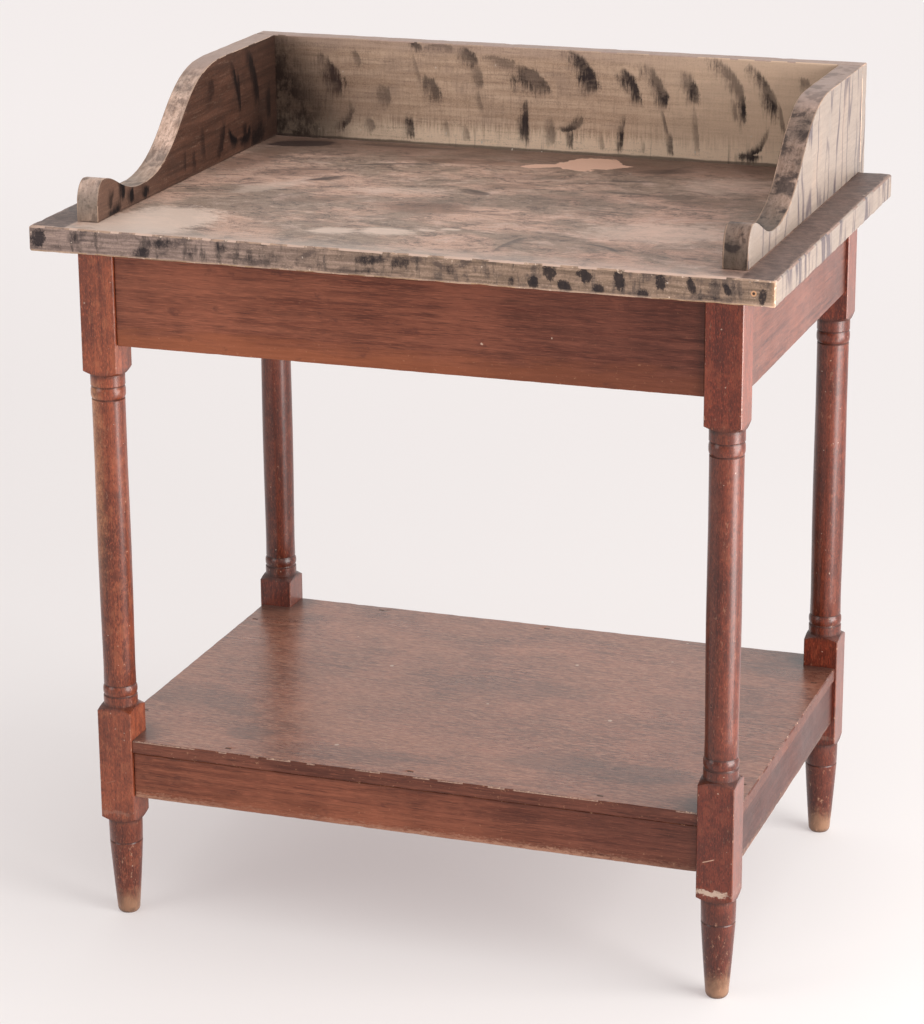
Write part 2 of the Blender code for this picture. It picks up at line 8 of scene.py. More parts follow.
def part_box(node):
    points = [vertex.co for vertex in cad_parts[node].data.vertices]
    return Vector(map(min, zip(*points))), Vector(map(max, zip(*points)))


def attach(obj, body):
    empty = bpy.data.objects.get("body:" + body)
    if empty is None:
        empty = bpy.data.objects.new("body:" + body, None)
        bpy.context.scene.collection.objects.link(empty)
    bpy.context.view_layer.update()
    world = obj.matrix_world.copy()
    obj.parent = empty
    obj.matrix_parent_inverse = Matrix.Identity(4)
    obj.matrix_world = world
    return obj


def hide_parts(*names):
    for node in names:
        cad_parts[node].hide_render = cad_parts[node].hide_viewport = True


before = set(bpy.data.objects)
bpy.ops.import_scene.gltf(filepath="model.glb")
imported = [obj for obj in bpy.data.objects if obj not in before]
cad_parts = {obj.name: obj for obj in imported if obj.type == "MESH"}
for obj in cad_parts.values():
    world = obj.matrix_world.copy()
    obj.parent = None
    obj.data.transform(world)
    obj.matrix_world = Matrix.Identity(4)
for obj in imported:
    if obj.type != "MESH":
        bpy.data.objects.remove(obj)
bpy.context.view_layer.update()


# Four legs, each turned from one square stick of red-brown hardwood. The lathe
# leaves two square blocks for the mortises, and the foot below them tapers.
# Stain and old varnish: dark dirt in the grooves, bare wood at arrises and feet.
# Painted light and shade: the front-left leg is painted lighter, the other legs darker.
LEG_NODES = ("Front_left_leg", "Front_right_leg", "Rear_left_leg", "Rear_right_leg")
LEG_DARK = (0.09, 0.0155, 0.0065)
LEG_LIGHT = (0.21, 0.047, 0.019)
LEG_SIDE = 0.038
BLOCK_CORNER = 0.0263
LEG_FACETS = 96
SAME_PLACE = 0.00001
UPPER_BLOCK = 0.6045
LOWER_BLOCK = (0.1135, 0.234)
SHOULDER = 0.005
NECK = 0.0179
BEAD = 0.0181
GROOVE = 0.0166
FINE_GROOVE = 0.0171
UPPER_BEAD = (0.5748, 0.5858)
LOWER_BEAD = (0.2507, 0.2602)
GROOVE_WIDTH = 0.0022
FOOT_COLLAR = 0.0845
COLLAR_RADIUS = 0.0176
SCRAPE_HEIGHT = LOWER_BLOCK[0] + 0.006
SCRATCH_HEIGHT = 0.1575
BLOCK_FADES = ((0.112, 0.115), (0.236, 0.233), (0.603, 0.606))
TAPER_END = 0.004
LEG_GROOVES = (0.5869, 0.5737, 0.2613, 0.2496, 0.0834)
SHAFT_SHAPE = (
    (1.0, 0.01726), (0.77, 0.0171), (0.62, 0.01741), (0.48, 0.0176), (0.32, 0.01741), (0.19, 0.01705),
    (0.065, 0.01675), (0.0, 0.01705),
)
FOOT_SHAPE = ((1.0, 0.0176), (0.75, 0.01635), (0.5, 0.01498), (0.25, 0.0135), (0.0, 0.0119))
FOOT_TIP = ((0.0026, 0.0114), (0.0012, 0.0107), (0.0, 0.0095))


def feed(socket, value):
    """Give a shader socket a plain value, or link it to the output that feeds it."""
    if isinstance(value, bpy.types.NodeSocket):
        socket.id_data.links.new(value, socket)
    else:
        socket.default_value = value


def put(kind, settings, sockets):
    """Add a shader node beside the outputs that feed it, and return its own outputs."""
    tree = next(value.id_data for value in sockets.values() if isinstance(value, bpy.types.NodeSocket))
    made = tree.nodes.new(kind)
    for word, value in settings.items():
        setattr(made, word, value)
    for word, value in sockets.items():
        feed(made.inputs[word], value)
    return made.outputs


def calc(way, first, second=0.0, third=0.0):
    """One sum on up to three numbers."""
    return put("ShaderNodeMath", {"operation": way}, {0: first, 1: second, 2: third})[0]


def less(first, second):
    """The first number less the second."""
    return calc("SUBTRACT", first, second)


def apart(first, second):
    """How far two numbers lie apart."""
    return calc("ABSOLUTE", less(first, second))


def product(first, second):
    """Two numbers multiplied."""
    return calc("MULTIPLY", first, second)


def scaled(number, by, added):
    """A number multiplied, with another added."""
    return calc("MULTIPLY_ADD", number, by, added)


def places(way, first, second):
    """One sum on two places. A plain number stands for X, Y and Z alike."""
    if isinstance(second, (int, float)):
        second = (second, second, second)
    return put("ShaderNodeVectorMath", {"operation": way}, {0: first, 1: second})


def times(place, shares):
    """Stretch or squeeze a place along X, Y and Z."""
    return places("MULTIPLY", place, shares)[0]


def shifted(place, step):
    """Move a place."""
    return places("ADD", place, step)[0]


def axes(place):
    """The X, Y and Z of a place."""
    return put("ShaderNodeSeparateXYZ", {}, {0: place})


def cloud(place, fineness, detail, rough, swirl=0.0, step=None):
    """Soft patches. fineness is how many lie in a metre, or three such numbers."""
    place = times(place, fineness)
    if step is not None:
        place = shifted(place, step)
    sockets = {"Vector": place, "Scale": 1.0, "Detail": detail, "Roughness": rough, "Distortion": swirl}
    return put("ShaderNodeTexNoise", {}, sockets)["Fac"]


def fade(value, start, end):
    """0 up to start, 1 from end on, and smooth between."""
    sockets = {"Value": value, "From Min": start, "From Max": end}
    return put("ShaderNodeMapRange", {"interpolation_type": "SMOOTHSTEP"}, sockets)["Result"]


def mix(share, under, over, way="MIX"):
    """Lay one colour over another."""
    sides = [side if isinstance(side, bpy.types.NodeSocket) else (*side, 1.0) for side in (under, over)]
    settings = {"data_type": "RGBA", "blend_type": way, "clamp_factor": True}
    return put("ShaderNodeMix", settings, {0: share, 6: sides[0], 7: sides[1]})[2]


def lay(under, over, share, most, way="MIX"):
    """Lay one colour over another, as thick as most where the share is 1."""
    return mix(product(share, most), under, over, way)


def layers(body, rows):
    """Lay colours on, one after the other. A row is a colour, where it lies and how thick."""
    for row in rows:
        body = lay(body, *row)
    return body


def effect(name, wants, gives):
    """Start a shader node group with named inputs and outputs."""
    group = bpy.data.node_groups.new(name, "ShaderNodeTree")
    for word, kind in wants:
        group.interface.new_socket(word, in_out="INPUT", socket_type="NodeSocket" + kind)
    for word in gives:
        group.interface.new_socket(word, in_out="OUTPUT", socket_type="NodeSocketFloat")
    given = group.nodes.new("NodeGroupInput").outputs
    result = group.nodes.new("NodeGroupOutput").inputs
    return group, given, result


def use(group, sockets):
    """Place a node group in a material, and return its outputs."""
    return put("ShaderNodeGroup", {"node_tree": group}, sockets)


def all_three(number):
    """A step of the same length along X, Y and Z."""
    return put("ShaderNodeCombineXYZ", {}, {0: number, 1: number, 2: number})[0]


def wood_grain():
    """Broad figure, fibre streaks and dark pore dashes, all drawn out along the grain."""
    wants = (("Place", "Vector"), ("Stretch", "Vector"), ("Board", "Float"))
    group, given, result = effect("wood_grain", wants, ("Figure", "Streaks", "Pores"))
    place = shifted(times(given["Place"], given["Stretch"]), all_three(given["Board"]))
    rings = product(cloud(place, 0.06, 2, 0.5, 0.4), 70)
    feed(result["Figure"], fade(calc("SINE", rings), 0.1, 1.0))
    feed(result["Streaks"], cloud(place, 0.5, 6, 0.66, 0.2))
    feed(result["Pores"], fade(cloud(place, 1.6, 2, 0.6), 0.55, 0.7))
    return group


def arris_wear():
    """Where a piece is rubbed: close to the arrises of the box from Low to High."""
    wants = (
        ("Place", "Vector"), ("Low", "Vector"), ("High", "Vector"), ("Width", "Float"), ("Board", "Float"),
    )
    group, given, result = effect("arris_wear", wants, ("Arris", "Chips"))
    above = places("SUBTRACT", given["Place"], given["Low"])[0]
    below = places("SUBTRACT", given["High"], given["Place"])[0]
    x, y, z = axes(places("MINIMUM", above, below)[0])
    low_pair = calc("MINIMUM", x, y)
    high_pair = calc("MAXIMUM", x, y)
    depth = calc("MAXIMUM", low_pair, calc("MINIMUM", high_pair, z))
    place = shifted(given["Place"], all_three(given["Board"]))
    rubbed = product(given["Width"], scaled(cloud(place, 70, 4, 0.65), 2.6, -0.35))
    feed(result["Arris"], fade(less(rubbed, depth), 0.0, 0.0008))
    chipped = product(given["Width"], scaled(cloud(place, 240, 2, 0.5), 14, -8.4))
    feed(result["Chips"], fade(less(chipped, depth), 0.0, 0.0006))
    return group


def specks():
    """Tiny uneven flecks of spilt paint and bare spots."""
    wants = (("Place", "Vector"), ("Size", "Float"), ("Share", "Float"))
    group, given, result = effect("specks", wants, ("Specks",))
    jitter = put("ShaderNodeTexNoise", {}, {"Vector": given["Place"], "Scale": 520.0, "Detail": 2.0})["Color"]
    bent = shifted(given["Place"], times(jitter, 0.0022))
    cells = put("ShaderNodeTexVoronoi", {}, {"Vector": bent, "Scale": calc("DIVIDE", 1.0, given["Size"])})
    pick = put("ShaderNodeSeparateColor", {}, {0: cells["Color"]})
    chosen = calc("LESS_THAN", pick[0], given["Share"])
    near = less(cells["Distance"], scaled(pick[1], 0.09, 0.05))
    feed(result["Specks"], product(chosen, less(1.0, fade(near, 0.0, 0.05))))
    return group


def grime():
    """Fine dirt and rubbed spots in old paint, with the wood's grain showing through."""
    wants = (("Place", "Vector"), ("Stretch", "Vector"))
    group, given, result = effect("grime", wants, ("Dirt", "Rubbed", "Relief"))
    dots = cloud(given["Place"], 620, 3, 0.7)
    lines = cloud(given["Place"], given["Stretch"], 5, 0.68)
    both = calc("ADD", product(dots, 0.45), product(lines, 0.55))
    feed(result["Dirt"], fade(both, 0.49, 0.64))
    feed(result["Rubbed"], fade(both, 0.48, 0.35))
    feed(result["Relief"], both)
    return group


def drawn_out(along, run, across):
    """How fine a pattern is on each axis: run along one of them, and across the others."""
    return tuple(run if side == along else across for side in range(3))


def aged(place, along, colour, dirt_share, rubbed_share):
    """Old paint: dirtied and rubbed along the grain of the board beneath."""
    dirt, rubbed, relief = use(GRIME, {"Place": place, "Stretch": drawn_out(along, 26.0, 420.0)})
    return layers(colour, ((DIRT, dirt, dirt_share), (RUBBED_PAINT, rubbed, rubbed_share))), relief


DIRT = (0.06, 0.04, 0.032)
RUBBED_PAINT = (0.56, 0.4, 0.3)
ROUGH_RELIEF = 0.0004
SMOOTH_RELIEF = 0.0002
GRIME = grime()
WOOD_GRAIN = wood_grain()
ARRIS_WEAR = arris_wear()
SPECKS = specks()


def spots(place, size, share):
    """Specks, size apart, on a share of the places."""
    return use(SPECKS, {"Place": place, "Size": size, "Share": share})["Specks"]


def flecked(body, place, size, share, colour, most):
    """Scatter specks of a colour."""
    return lay(body, colour, spots(place, size, share), most)


def worn(place, box, width, board):
    """Where the arrises of a box are rubbed, and where they are chipped."""
    wear = {"Place": place, "Low": tuple(box[0]), "High": tuple(box[1]), "Width": width, "Board": board}
    return use(ARRIS_WEAR, wear)


def rubbed_arrises(body, place, box, width, board, rubbed, chipped):
    """Rub and chip the arrises of a box. Each takes a colour and how thick it lies."""
    arris, chips = worn(place, box, width, board)
    return lay(lay(body, rubbed[0], arris, rubbed[1]), chipped[0], chips, chipped[1])


def start_material(name):
    """An empty material, and the place on the piece."""
    material = bpy.data.materials.new(name)
    material.use_nodes = True
    return material, material.node_tree.nodes.new("ShaderNodeTexCoord").outputs["Object"]


def finish_off(material, colour, roughness, height, depth, gloss=0.5, others=None):
    """Feed the shader. height is in shares of depth, the relief's full depth."""
    relief = put("ShaderNodeBump", {}, {"Strength": 1.0, "Distance": depth, "Height": height})[0]
    sockets = {"Base Color": colour, "Roughness": roughness, "Normal": relief, "Specular IOR Level": gloss}
    for word, value in {**sockets, **(others or {})}.items():
        feed(material.node_tree.nodes["Principled BSDF"].inputs[word], value)
    return material


def stained_wood(place, along, board, dark, light, grit_run=260.0, grit_share=1.0, grit_fine=900.0):
    """Stained hardwood: its colour and its relief."""
    sockets = {"Place": place, "Stretch": drawn_out(along, 16.0, 430.0), "Board": board}
    figure, streaks, pores = use(WOOD_GRAIN, sockets)
    body = mix(fade(streaks, 0.24, 0.76), dark, light)
    broad = cloud(place, 10, 4, 0.55, step=board)
    grit = cloud(place, drawn_out(along, grit_run, grit_fine), 2, 0.6)
    for stain, strength, share, most in (
        (dark, 0.6, figure, 0.34), (light, 1.35, fade(broad, 0.44, 0.7), 0.45),
        (dark, 0.7, fade(broad, 0.46, 0.28), 0.45), (dark, 0.34, pores, 0.46),
        (light, 1.7, fade(grit, 0.54, 0.68), 0.55 * grit_share),
        (dark, 0.4, fade(grit, 0.46, 0.32), 0.6 * grit_share),
    ):
        body = lay(body, tuple(strength * part for part in stain), share, most)
    varnish = cloud(place, 260, 3, 0.5)
    relief = scaled(pores, -0.35, product(varnish, 0.6))
    return body, scaled(streaks, 0.35, relief)


def leg_stain(name, centre, board, scuff, painted_light, painted_shade):
    """Leg finish: upright grain, mottled varnish, dirty grooves, rubbed arrises and foot, with painted light
    and shade.
    """
    material, place = start_material(name)
    body, relief = stained_wood(place, 2, board, LEG_DARK, LEG_LIGHT)
    x, y, z = axes(place)
    moved = shifted(place, board)
    mottle = cloud(moved, (95, 95, 60), 5, 0.68, 0.4)
    body = layers(body, (
        ((0.062, 0.014, 0.007), fade(mottle, 0.5, 0.66), 0.42),
        ((0.32, 0.1, 0.044), fade(mottle, 0.48, 0.37), 0.28),
    ))

    # Painted shade: the whole leg is darkened, on all legs but the front-left one.
    body = mix(painted_shade, body, (0.5, 0.4, 0.43), "MULTIPLY")
    from_axis = less(x, centre.x)
    in_low_block = product(fade(z, *BLOCK_FADES[0]), fade(z, *BLOCK_FADES[1]))
    in_block = calc("MAXIMUM", in_low_block, fade(z, *BLOCK_FADES[2]))
    # Where light is painted: on the blocks' right faces, and on the left of the upper shaft.
    lit_right_face = product(fade(from_axis, 0.0175, 0.0185), in_block)
    from_left = fade(scaled(mottle, 0.02, from_axis), 0.014, -0.006)
    upper = product(fade(z, 0.33, 0.48), fade(z, 0.6, 0.585))
    lit_left_side = product(product(from_left, upper), painted_light)
    spotty = fade(cloud(moved, (420, 420, 300), 4, 0.7), 0.4, 0.6)
    half = LEG_SIDE / 2
    low = (centre.x - half, centre.y - half, -1.0)
    high = (centre.x + half, centre.y + half, 2.0)
    body = layers(body, (
        # Painted light on the front-left leg's blocks; on the other legs the painted shade is lessened on the
        # blocks.
        ((1.38, 1.46, 1.42), in_block, painted_light, "MULTIPLY"), ((1.36, 1.19, 1.1), in_block, painted_shade, "MULTIPLY"),
        # Painted light on the blocks' right faces.
        ((0.33, 0.15, 0.105), lit_right_face, 0.2 * painted_shade),
        # Painted light on the left of the front-left leg's upper shaft.
        ((0.54, 0.25, 0.112), lit_left_side, scaled(spotty, 0.6, 0.4)),
        # Darker towards the foot.
        ((0.68, 0.66, 0.74), fade(z, 0.33, 0.2), 0.5, "MULTIPLY"),
    ))
    body = rubbed_arrises(
        body, place, (low, high), 0.0011, board, ((0.3, 0.11, 0.056), 0.22), ((0.42, 0.24, 0.16), 0.4),
    )

    dirt = 0.0
    for groove in LEG_GROOVES:
        dirt = calc("MAXIMUM", dirt, less(1.0, fade(apart(z, groove), 0.0004, 0.0015)))
    for edge in (UPPER_BLOCK - SHOULDER, LOWER_BLOCK[1] + SHOULDER, LOWER_BLOCK[0] - SHOULDER):
        line = less(1.0, fade(apart(z, edge), 0.0005, 0.004))
        dirt = calc("MAXIMUM", dirt, product(line, 0.75))
    body = lay(body, (0.026, 0.01, 0.008), dirt, 0.6)

    tip = fade(scaled(mottle, 0.05, z), 0.062, 0.03)
    foot = product(tip, 0.75)
    body = mix(foot, body, (0.3, 0.165, 0.095))
    rubs = fade(cloud(moved, (260, 260, 110), 4, 0.7), 0.6, 0.7)
    near_foot = calc("ADD", 0.22, product(fade(z, 0.11, 0.07), 0.45))
    ragged = cloud(place, (130, 130, 200), 5, 0.72)
    reach = scaled(ragged, 0.018, apart(z, SCRAPE_HEIGHT))
    patchy = fade(scaled(ragged, 0.03, from_axis), 0.036, 0.022)
    scrape = product(product(fade(reach, 0.0126, 0.0104), patchy), scuff)
    body = layers(body, (
        ((0.06, 0.032, 0.022), fade(scaled(mottle, 0.02, z), 0.016, 0.009), 0.8),
        ((0.42, 0.225, 0.14), rubs, near_foot),
    ))
    body = mix(scrape, body, (0.53, 0.4, 0.31))
    slope = scaled(from_axis, -0.36, z)
    line = fade(calc("ABSOLUTE", scaled(ragged, 0.0016, less(slope, SCRATCH_HEIGHT))), 0.0008, 0.0003)
    reach = fade(apart(x, centre.x - 0.0065), 0.007, 0.0045)
    scratch = product(product(line, reach), fade(y, centre.y - 0.017, centre.y - 0.0185))
    body = lay(body, (0.56, 0.36, 0.25), scratch, 0.9 * scuff)
    body = flecked(body, place, 0.005, 0.1, (0.48, 0.34, 0.26), 0.55)

    rough = scaled(cloud(place, (30, 30, 12), 4, 0.6), 0.26, 0.3)
    rough = calc("ADD", rough, product(calc("MAXIMUM", foot, scrape), 0.25))
    coat = {"Coat Weight": 0.58, "Coat Roughness": 0.24}
    return finish_off(material, body, calc("ADD", rough, product(dirt, 0.25)), relief, 0.00018, 0.2, coat)


def bead_profile(low, high, groove):
    """A half-round bead between two grooves, from its top down."""
    rise = BEAD - groove
    shape = ((0.0, 0.25), (0.1, 0.62), (0.25, 0.9), (0.5, 1.0), (0.75, 0.9), (0.9, 0.62), (1.0, 0.25))
    return [(groove + rise * share, high - (high - low) * down) for down, share in shape]


def leg_profile(top):
    """Radius and height down the leg's outer side, its blocks taken as round."""
    points = [(0.0, top), (BLOCK_CORNER, top), (BLOCK_CORNER, UPPER_BLOCK)]
    neck = UPPER_BLOCK - SHOULDER
    points += [
        (NECK, neck), (NECK, UPPER_BEAD[1] + GROOVE_WIDTH), (FINE_GROOVE, UPPER_BEAD[1] + GROOVE_WIDTH / 2),
    ]
    points += bead_profile(*UPPER_BEAD, FINE_GROOVE)
    points.append((GROOVE, UPPER_BEAD[0] - GROOVE_WIDTH / 2))
    shaft_top = UPPER_BEAD[0] - GROOVE_WIDTH
    shaft_end = LOWER_BEAD[1] + GROOVE_WIDTH
    points += [(radius, shaft_end + (shaft_top - shaft_end) * share) for share, radius in SHAFT_SHAPE]
    points.append((GROOVE, LOWER_BEAD[1] + GROOVE_WIDTH / 2))
    points += bead_profile(*LOWER_BEAD, GROOVE)
    points += [(FINE_GROOVE, LOWER_BEAD[0] - GROOVE_WIDTH / 2), (NECK, LOWER_BEAD[0] - GROOVE_WIDTH)]
    points += [(NECK, LOWER_BLOCK[1] + SHOULDER), (BLOCK_CORNER, LOWER_BLOCK[1])]
    points += [(BLOCK_CORNER, LOWER_BLOCK[0]), (NECK, LOWER_BLOCK[0] - SHOULDER)]
    points += [
        (BEAD - 0.0001, LOWER_BLOCK[0] - 2 * SHOULDER), (COLLAR_RADIUS, FOOT_COLLAR),
        (FINE_GROOVE, FOOT_COLLAR - GROOVE_WIDTH / 2),
    ]
    taper_top = FOOT_COLLAR - GROOVE_WIDTH
    points += [(radius, TAPER_END + (taper_top - TAPER_END) * share) for share, radius in FOOT_SHAPE]
    points += [(radius, height) for height, radius in FOOT_TIP]
    points.append((0.0, 0.0))
    return points


def smooth_mesh(shape, name, sharp):
    """Make a mesh of a worked shape, smooth but for edges that turn by more degrees than sharp."""
    mesh = bpy.data.meshes.new(name)
    shape.to_mesh(mesh)
    shape.free()
    mesh.shade_smooth()
    mesh.set_sharp_from_angle(angle=math.radians(sharp))
    return mesh


def turned_leg(node):
    """Spin the profile, then plane the blocks' four sides flat."""
    low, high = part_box(node)
    centre = (Vector(low) + Vector(high)) / 2
    shape = bmesh.new()
    verts = [shape.verts.new((radius, 0.0, height)) for radius, height in leg_profile(high[2])]
    edges = [shape.edges.new(pair) for pair in zip(verts, verts[1:])]
    bmesh.ops.spin(
        shape, geom=verts + edges, cent=(0, 0, 0), axis=(0, 0, 1), dvec=(0, 0, 0),
        angle=2 * math.pi, steps=LEG_FACETS, use_merge=True, use_normal_flip=False, use_duplicate=False,
    )
    bmesh.ops.remove_doubles(shape, verts=shape.verts, dist=SAME_PLACE)
    for x, y in ((1, 0), (-1, 0), (0, 1), (0, -1)):
        side = Vector((x, y, 0))
        cut = bmesh.ops.bisect_plane(
            shape, geom=shape.verts[:] + shape.edges[:] + shape.faces[:], dist=0.000001,
            plane_co=side * LEG_SIDE / 2, plane_no=side, clear_outer=True, clear_inner=False,
        )
        rim = [part for part in cut["geom_cut"] if isinstance(part, bmesh.types.BMEdge)]
        bmesh.ops.edgenet_fill(shape, edges=rim)
    bmesh.ops.recalc_face_normals(shape, faces=shape.faces)
    bmesh.ops.translate(shape, verts=shape.verts, vec=(centre.x, centre.y, 0))
    return smooth_mesh(shape, node + "_turned", 24), centre


def placed(name, data):
    """Put a mesh, a light or the camera in the scene."""
    thing = bpy.data.objects.new(name, data)
    bpy.context.scene.collection.objects.link(thing)
    return thing


def show(mesh, node, slot, *materials):
    """Stand a dressed mesh in for a CAD node."""
    piece = placed(mesh.name, mesh)
    for material in materials:
        mesh.materials.append(material)
    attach(piece, "root")
    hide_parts(node)


for number, leg_node in enumerate(LEG_NODES):
    leg_mesh, leg_centre = turned_leg(leg_node)
    scuffed = 0.75 if leg_node == "Front_right_leg" else 0.1
    # Painted light on the front-left leg, painted shade on the other three.
    painted_light, painted_shade = (0.85, 0.0) if leg_node == "Front_left_leg" else (0.0, 0.85)
    leg_finish = leg_stain(leg_node + "_stain", leg_centre, 3.7 * number, scuffed, painted_light, painted_shade)
    show(leg_mesh, leg_node, "leg_stain", leg_finish)


# Four aprons under the top and four rails under the shelf, plain boards of the
# same stained hardwood, tenoned into the legs. Their grain runs lengthwise.
# The arrises are rubbed down to lighter wood, most of all along the lower edge.
# Some boards are painted darker towards the right and all over, as painted shade, and each has painted shade
# along its upper edge.
BOARDS = (
    ("Front_apron", 0, 11.0), ("Rear_apron", 0, 12.3), ("Left_apron", 1, 13.1), ("Right_apron", 1, 14.9),
    ("Front_shelf_rail", 0, 15.2), ("Rear_shelf_rail", 0, 16.8), ("Left_shelf_rail", 1, 17.5),
    ("Right_shelf_rail", 1, 18.4),
)
BOARD_DARK = (0.098, 0.021, 0.01)
BOARD_LIGHT = (0.23, 0.072, 0.038)
CELL = 0.009
ARRIS_LOSS = 0.0005
ARRIS_REACH = 0.002


def corners(node):
    """The lowest and the highest corner of a piece."""
    return [Vector(corner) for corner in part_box(node)]


def dressed_copy(node, losing=ARRIS_LOSS):
    """A CAD board cut into small cells, its arrises worn away unevenly."""
    low, high = corners(node)
    shape = bmesh.new()
    shape.from_mesh(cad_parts[node].data)
    bmesh.ops.remove_doubles(shape, verts=shape.verts, dist=SAME_PLACE)
    bmesh.ops.dissolve_limit(shape, angle_limit=math.radians(1), verts=shape.verts, edges=shape.edges)
    for axis in range(3):
        across = Vector((axis == 0, axis == 1, axis == 2))
        cells = int((high[axis] - low[axis]) / CELL)
        for step in range(1, cells):
            bmesh.ops.bisect_plane(
                shape, geom=shape.verts[:] + shape.edges[:] + shape.faces[:], dist=0.00002,
                plane_co=low + across * CELL * step, plane_no=across,
            )
    for vert in shape.verts:
        inward = Vector()
        for axis in range(3):
            for end, side in ((low, 1), (high, -1)):
                if abs(vert.co[axis] - end[axis]) < ARRIS_REACH:
                    inward[axis] = side
        if inward.length > 1.1:
            rub = 0.5 + 0.5 * noise.noise(vert.co * 90.0) + 0.4 * noise.noise(vert.co * 300.0)
            vert.co += inward * losing * max(rub, 0.0) ** 2
    mesh = smooth_mesh(shape, node + "_board", 30)
    mesh.materials.clear()
    return mesh


def board_stain(name, node, along, board, warmth=0.0, shade_to_right=0.0, painted_shade=0.0, worn_foot=0.0, gloss=0.25):
    """Finish of an apron or a rail, with painted shade."""
    low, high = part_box(node)
    material, place = start_material(name)
    body, relief = stained_wood(place, along, board, BOARD_DARK, BOARD_LIGHT, 70.0, 0.62, 1300.0)
    x, _, z = axes(place)
    lapping = cloud(shifted(place, (board, board, 0)), (9, 9, 60), 4, 0.6, 0.3)
    warm = fade(scaled(lapping, 0.05, z), low[2] + 0.052, low[2] + 0.034)
    # The second layer is painted shade, darker towards the right end.
    body = layers(body, (
        ((0.28, 0.08, 0.03), warm, warmth), ((0.5, 0.48, 0.58), fade(x, -0.1, 0.3), shade_to_right, "MULTIPLY"),
    ))
    # Painted shade: the whole board darker.
    body = mix(painted_shade, body, (0.6, 0.62, 0.72), "MULTIPLY")
    blots = cloud(place, (38, 38, 60), 4, 0.6, step=board)
    rubs = fade(cloud(place, (220, 220, 260), 4, 0.7), 0.61, 0.71)
    body = layers(body, (
        ((0.07, 0.018, 0.012), fade(blots, 0.62, 0.72), 0.5),
        # Painted shade along the upper edge, under the board that lies over this one.
        ((0.055, 0.016, 0.011), fade(z, high[2] - 0.005, high[2] - 0.001), 0.3),
        ((0.44, 0.22, 0.12), rubs, scaled(warm, 0.35, 0.12)),
    ))
    body = rubbed_arrises(
        body, place, (low, high), 0.001, board, ((0.33, 0.125, 0.062), 0.4), ((0.5, 0.27, 0.165), 0.5),
    )
    crumbs = cloud(place, (150, 150, 420), 5, 0.75)
    foot = fade(scaled(crumbs, 0.03, z), low[2] + 0.0235, low[2] + 0.0155)
    foot = product(foot, scaled(fade(lapping, 0.4, 0.62), 0.75, 0.25))
    body = lay(body, (0.38, 0.2, 0.13), foot, worn_foot)
    body = flecked(body, place, 0.012, 0.03, (0.62, 0.47, 0.36), 0.6)
    coat = {"Coat Weight": 0.1, "Coat Roughness": 0.15}
    return finish_off(
        material, body, scaled(cloud(place, 14, 4, 0.6), 0.3, 0.24), relief, SMOOTH_RELIEF, gloss, coat,
    )


# Two of these settings paint shade: one darkens towards the right end, one darkens the whole board.
BOARD_STATES = {
    "Front_apron": {"warmth": 0.6, "shade_to_right": 0.9},
    "Front_shelf_rail": {"warmth": 0.12, "shade_to_right": 0.85, "worn_foot": 0.8},
    "Right_apron": {"painted_shade": 0.85, "gloss": 0.7},
    "Right_shelf_rail": {"painted_shade": 1.0, "shade_to_right": 1.0, "worn_foot": 0.4, "gloss": 0.2},
}
for board_node, run, number in BOARDS:
    finish = board_stain(board_node + "_stain", board_node, run, number, **BOARD_STATES.get(board_node, {}))
    show(dressed_copy(board_node), board_node, "apron_stain", finish)


# The shelf is one wide board of the same wood, notched round the legs and
# nailed down on the rails. Its varnish is dull, dusty and rubbed grey-pink.

# Patches are given in mm by the place of their middle, their length and width,
# their lean in degrees, how crisp their rim is and their strength.
SHELF_SMUDGES = (
    (-200, -171, 70, 44, 10, 0.35, 0.85), (-228, -118, 60, 22, 8, 0.3, 0.6),
    (120, -150, 170, 60, 8, 0.2, 0.7), (235, -150, 110, 50, 0, 0.3, 0.75), (-300, -90, 90, 150, 80, 0.1, 0.6),
    (-300, 190, 100, 60, 0, 0.2, 0.5), (290, 190, 120, 70, 0, 0.2, 0.6), (40, 40, 260, 80, 12, 0.0, 0.4),
    (-60, -190, 240, 44, 3, 0.2, 0.5), (200, 60, 200, 60, -8, 0.0, 0.35),
)


def length_and_lean(run, up, lean):
    """A place taken along and across a mark that leans."""
    cosine, sine = calc("COSINE", lean), calc("SINE", lean)
    along = calc("ADD", product(run, cosine), product(up, sine))
    return along, less(product(up, cosine), product(run, sine))


PATCH_WORDS = ("Along", "Up", "Ragged", "Mid along", "Mid up", "Length", "Width", "Lean", "Crisp", "Strength")


def paint_patch():
    """A patch of colour, ragged at its rim, soft or crisp."""
    group, given, result = effect("paint_patch", [(word, "Float") for word in PATCH_WORDS], ("Mark",))
    along, up, ragged, mid_along, mid_up, length, width, lean, crisp, strength = given[:len(PATCH_WORDS)]
    along, across = length_and_lean(less(along, mid_along), less(up, mid_up), lean)
    along = calc("DIVIDE", along, product(length, 0.5))
    across = calc("DIVIDE", across, product(width, 0.5))
    off = calc("SQRT", scaled(along, along, product(across, across)))
    reach = scaled(ragged, 2.3, calc("ADD", off, -1.15))
    mark = less(1.0, fade(reach, scaled(crisp, 0.62, 0.3), 1.04))
    feed(result["Mark"], product(mark, strength))
    return group


PAINT_PATCH = paint_patch()
MM = 0.001


def strongest(group, words, marks):
    """The strongest of a set of marks at each place."""
    total = 0.0
    for values in marks:
        total = calc("MAXIMUM", total, use(group, dict(zip(words, values)))["Mark"])
    return total


def patches(along, up, ragged, table):
    """The strongest of a table of patches at each place."""
    marks = [
        (along, up, ragged, *(size * MM for size in sizes), math.radians(lean), crisp, strength)
        for *sizes, lean, crisp, strength in table
    ]
    return strongest(PAINT_PATCH, PATCH_WORDS, marks)


def face_by_side(mesh, order):
    """Give each face the material of the side that it looks to."""
    for face in mesh.polygons:
        size = [abs(part) for part in face.normal]
        axis = size.index(max(size))
        face.material_index = order["xyz"[axis] if face.normal[axis] > 0 else "-" + "xyz"[axis]]


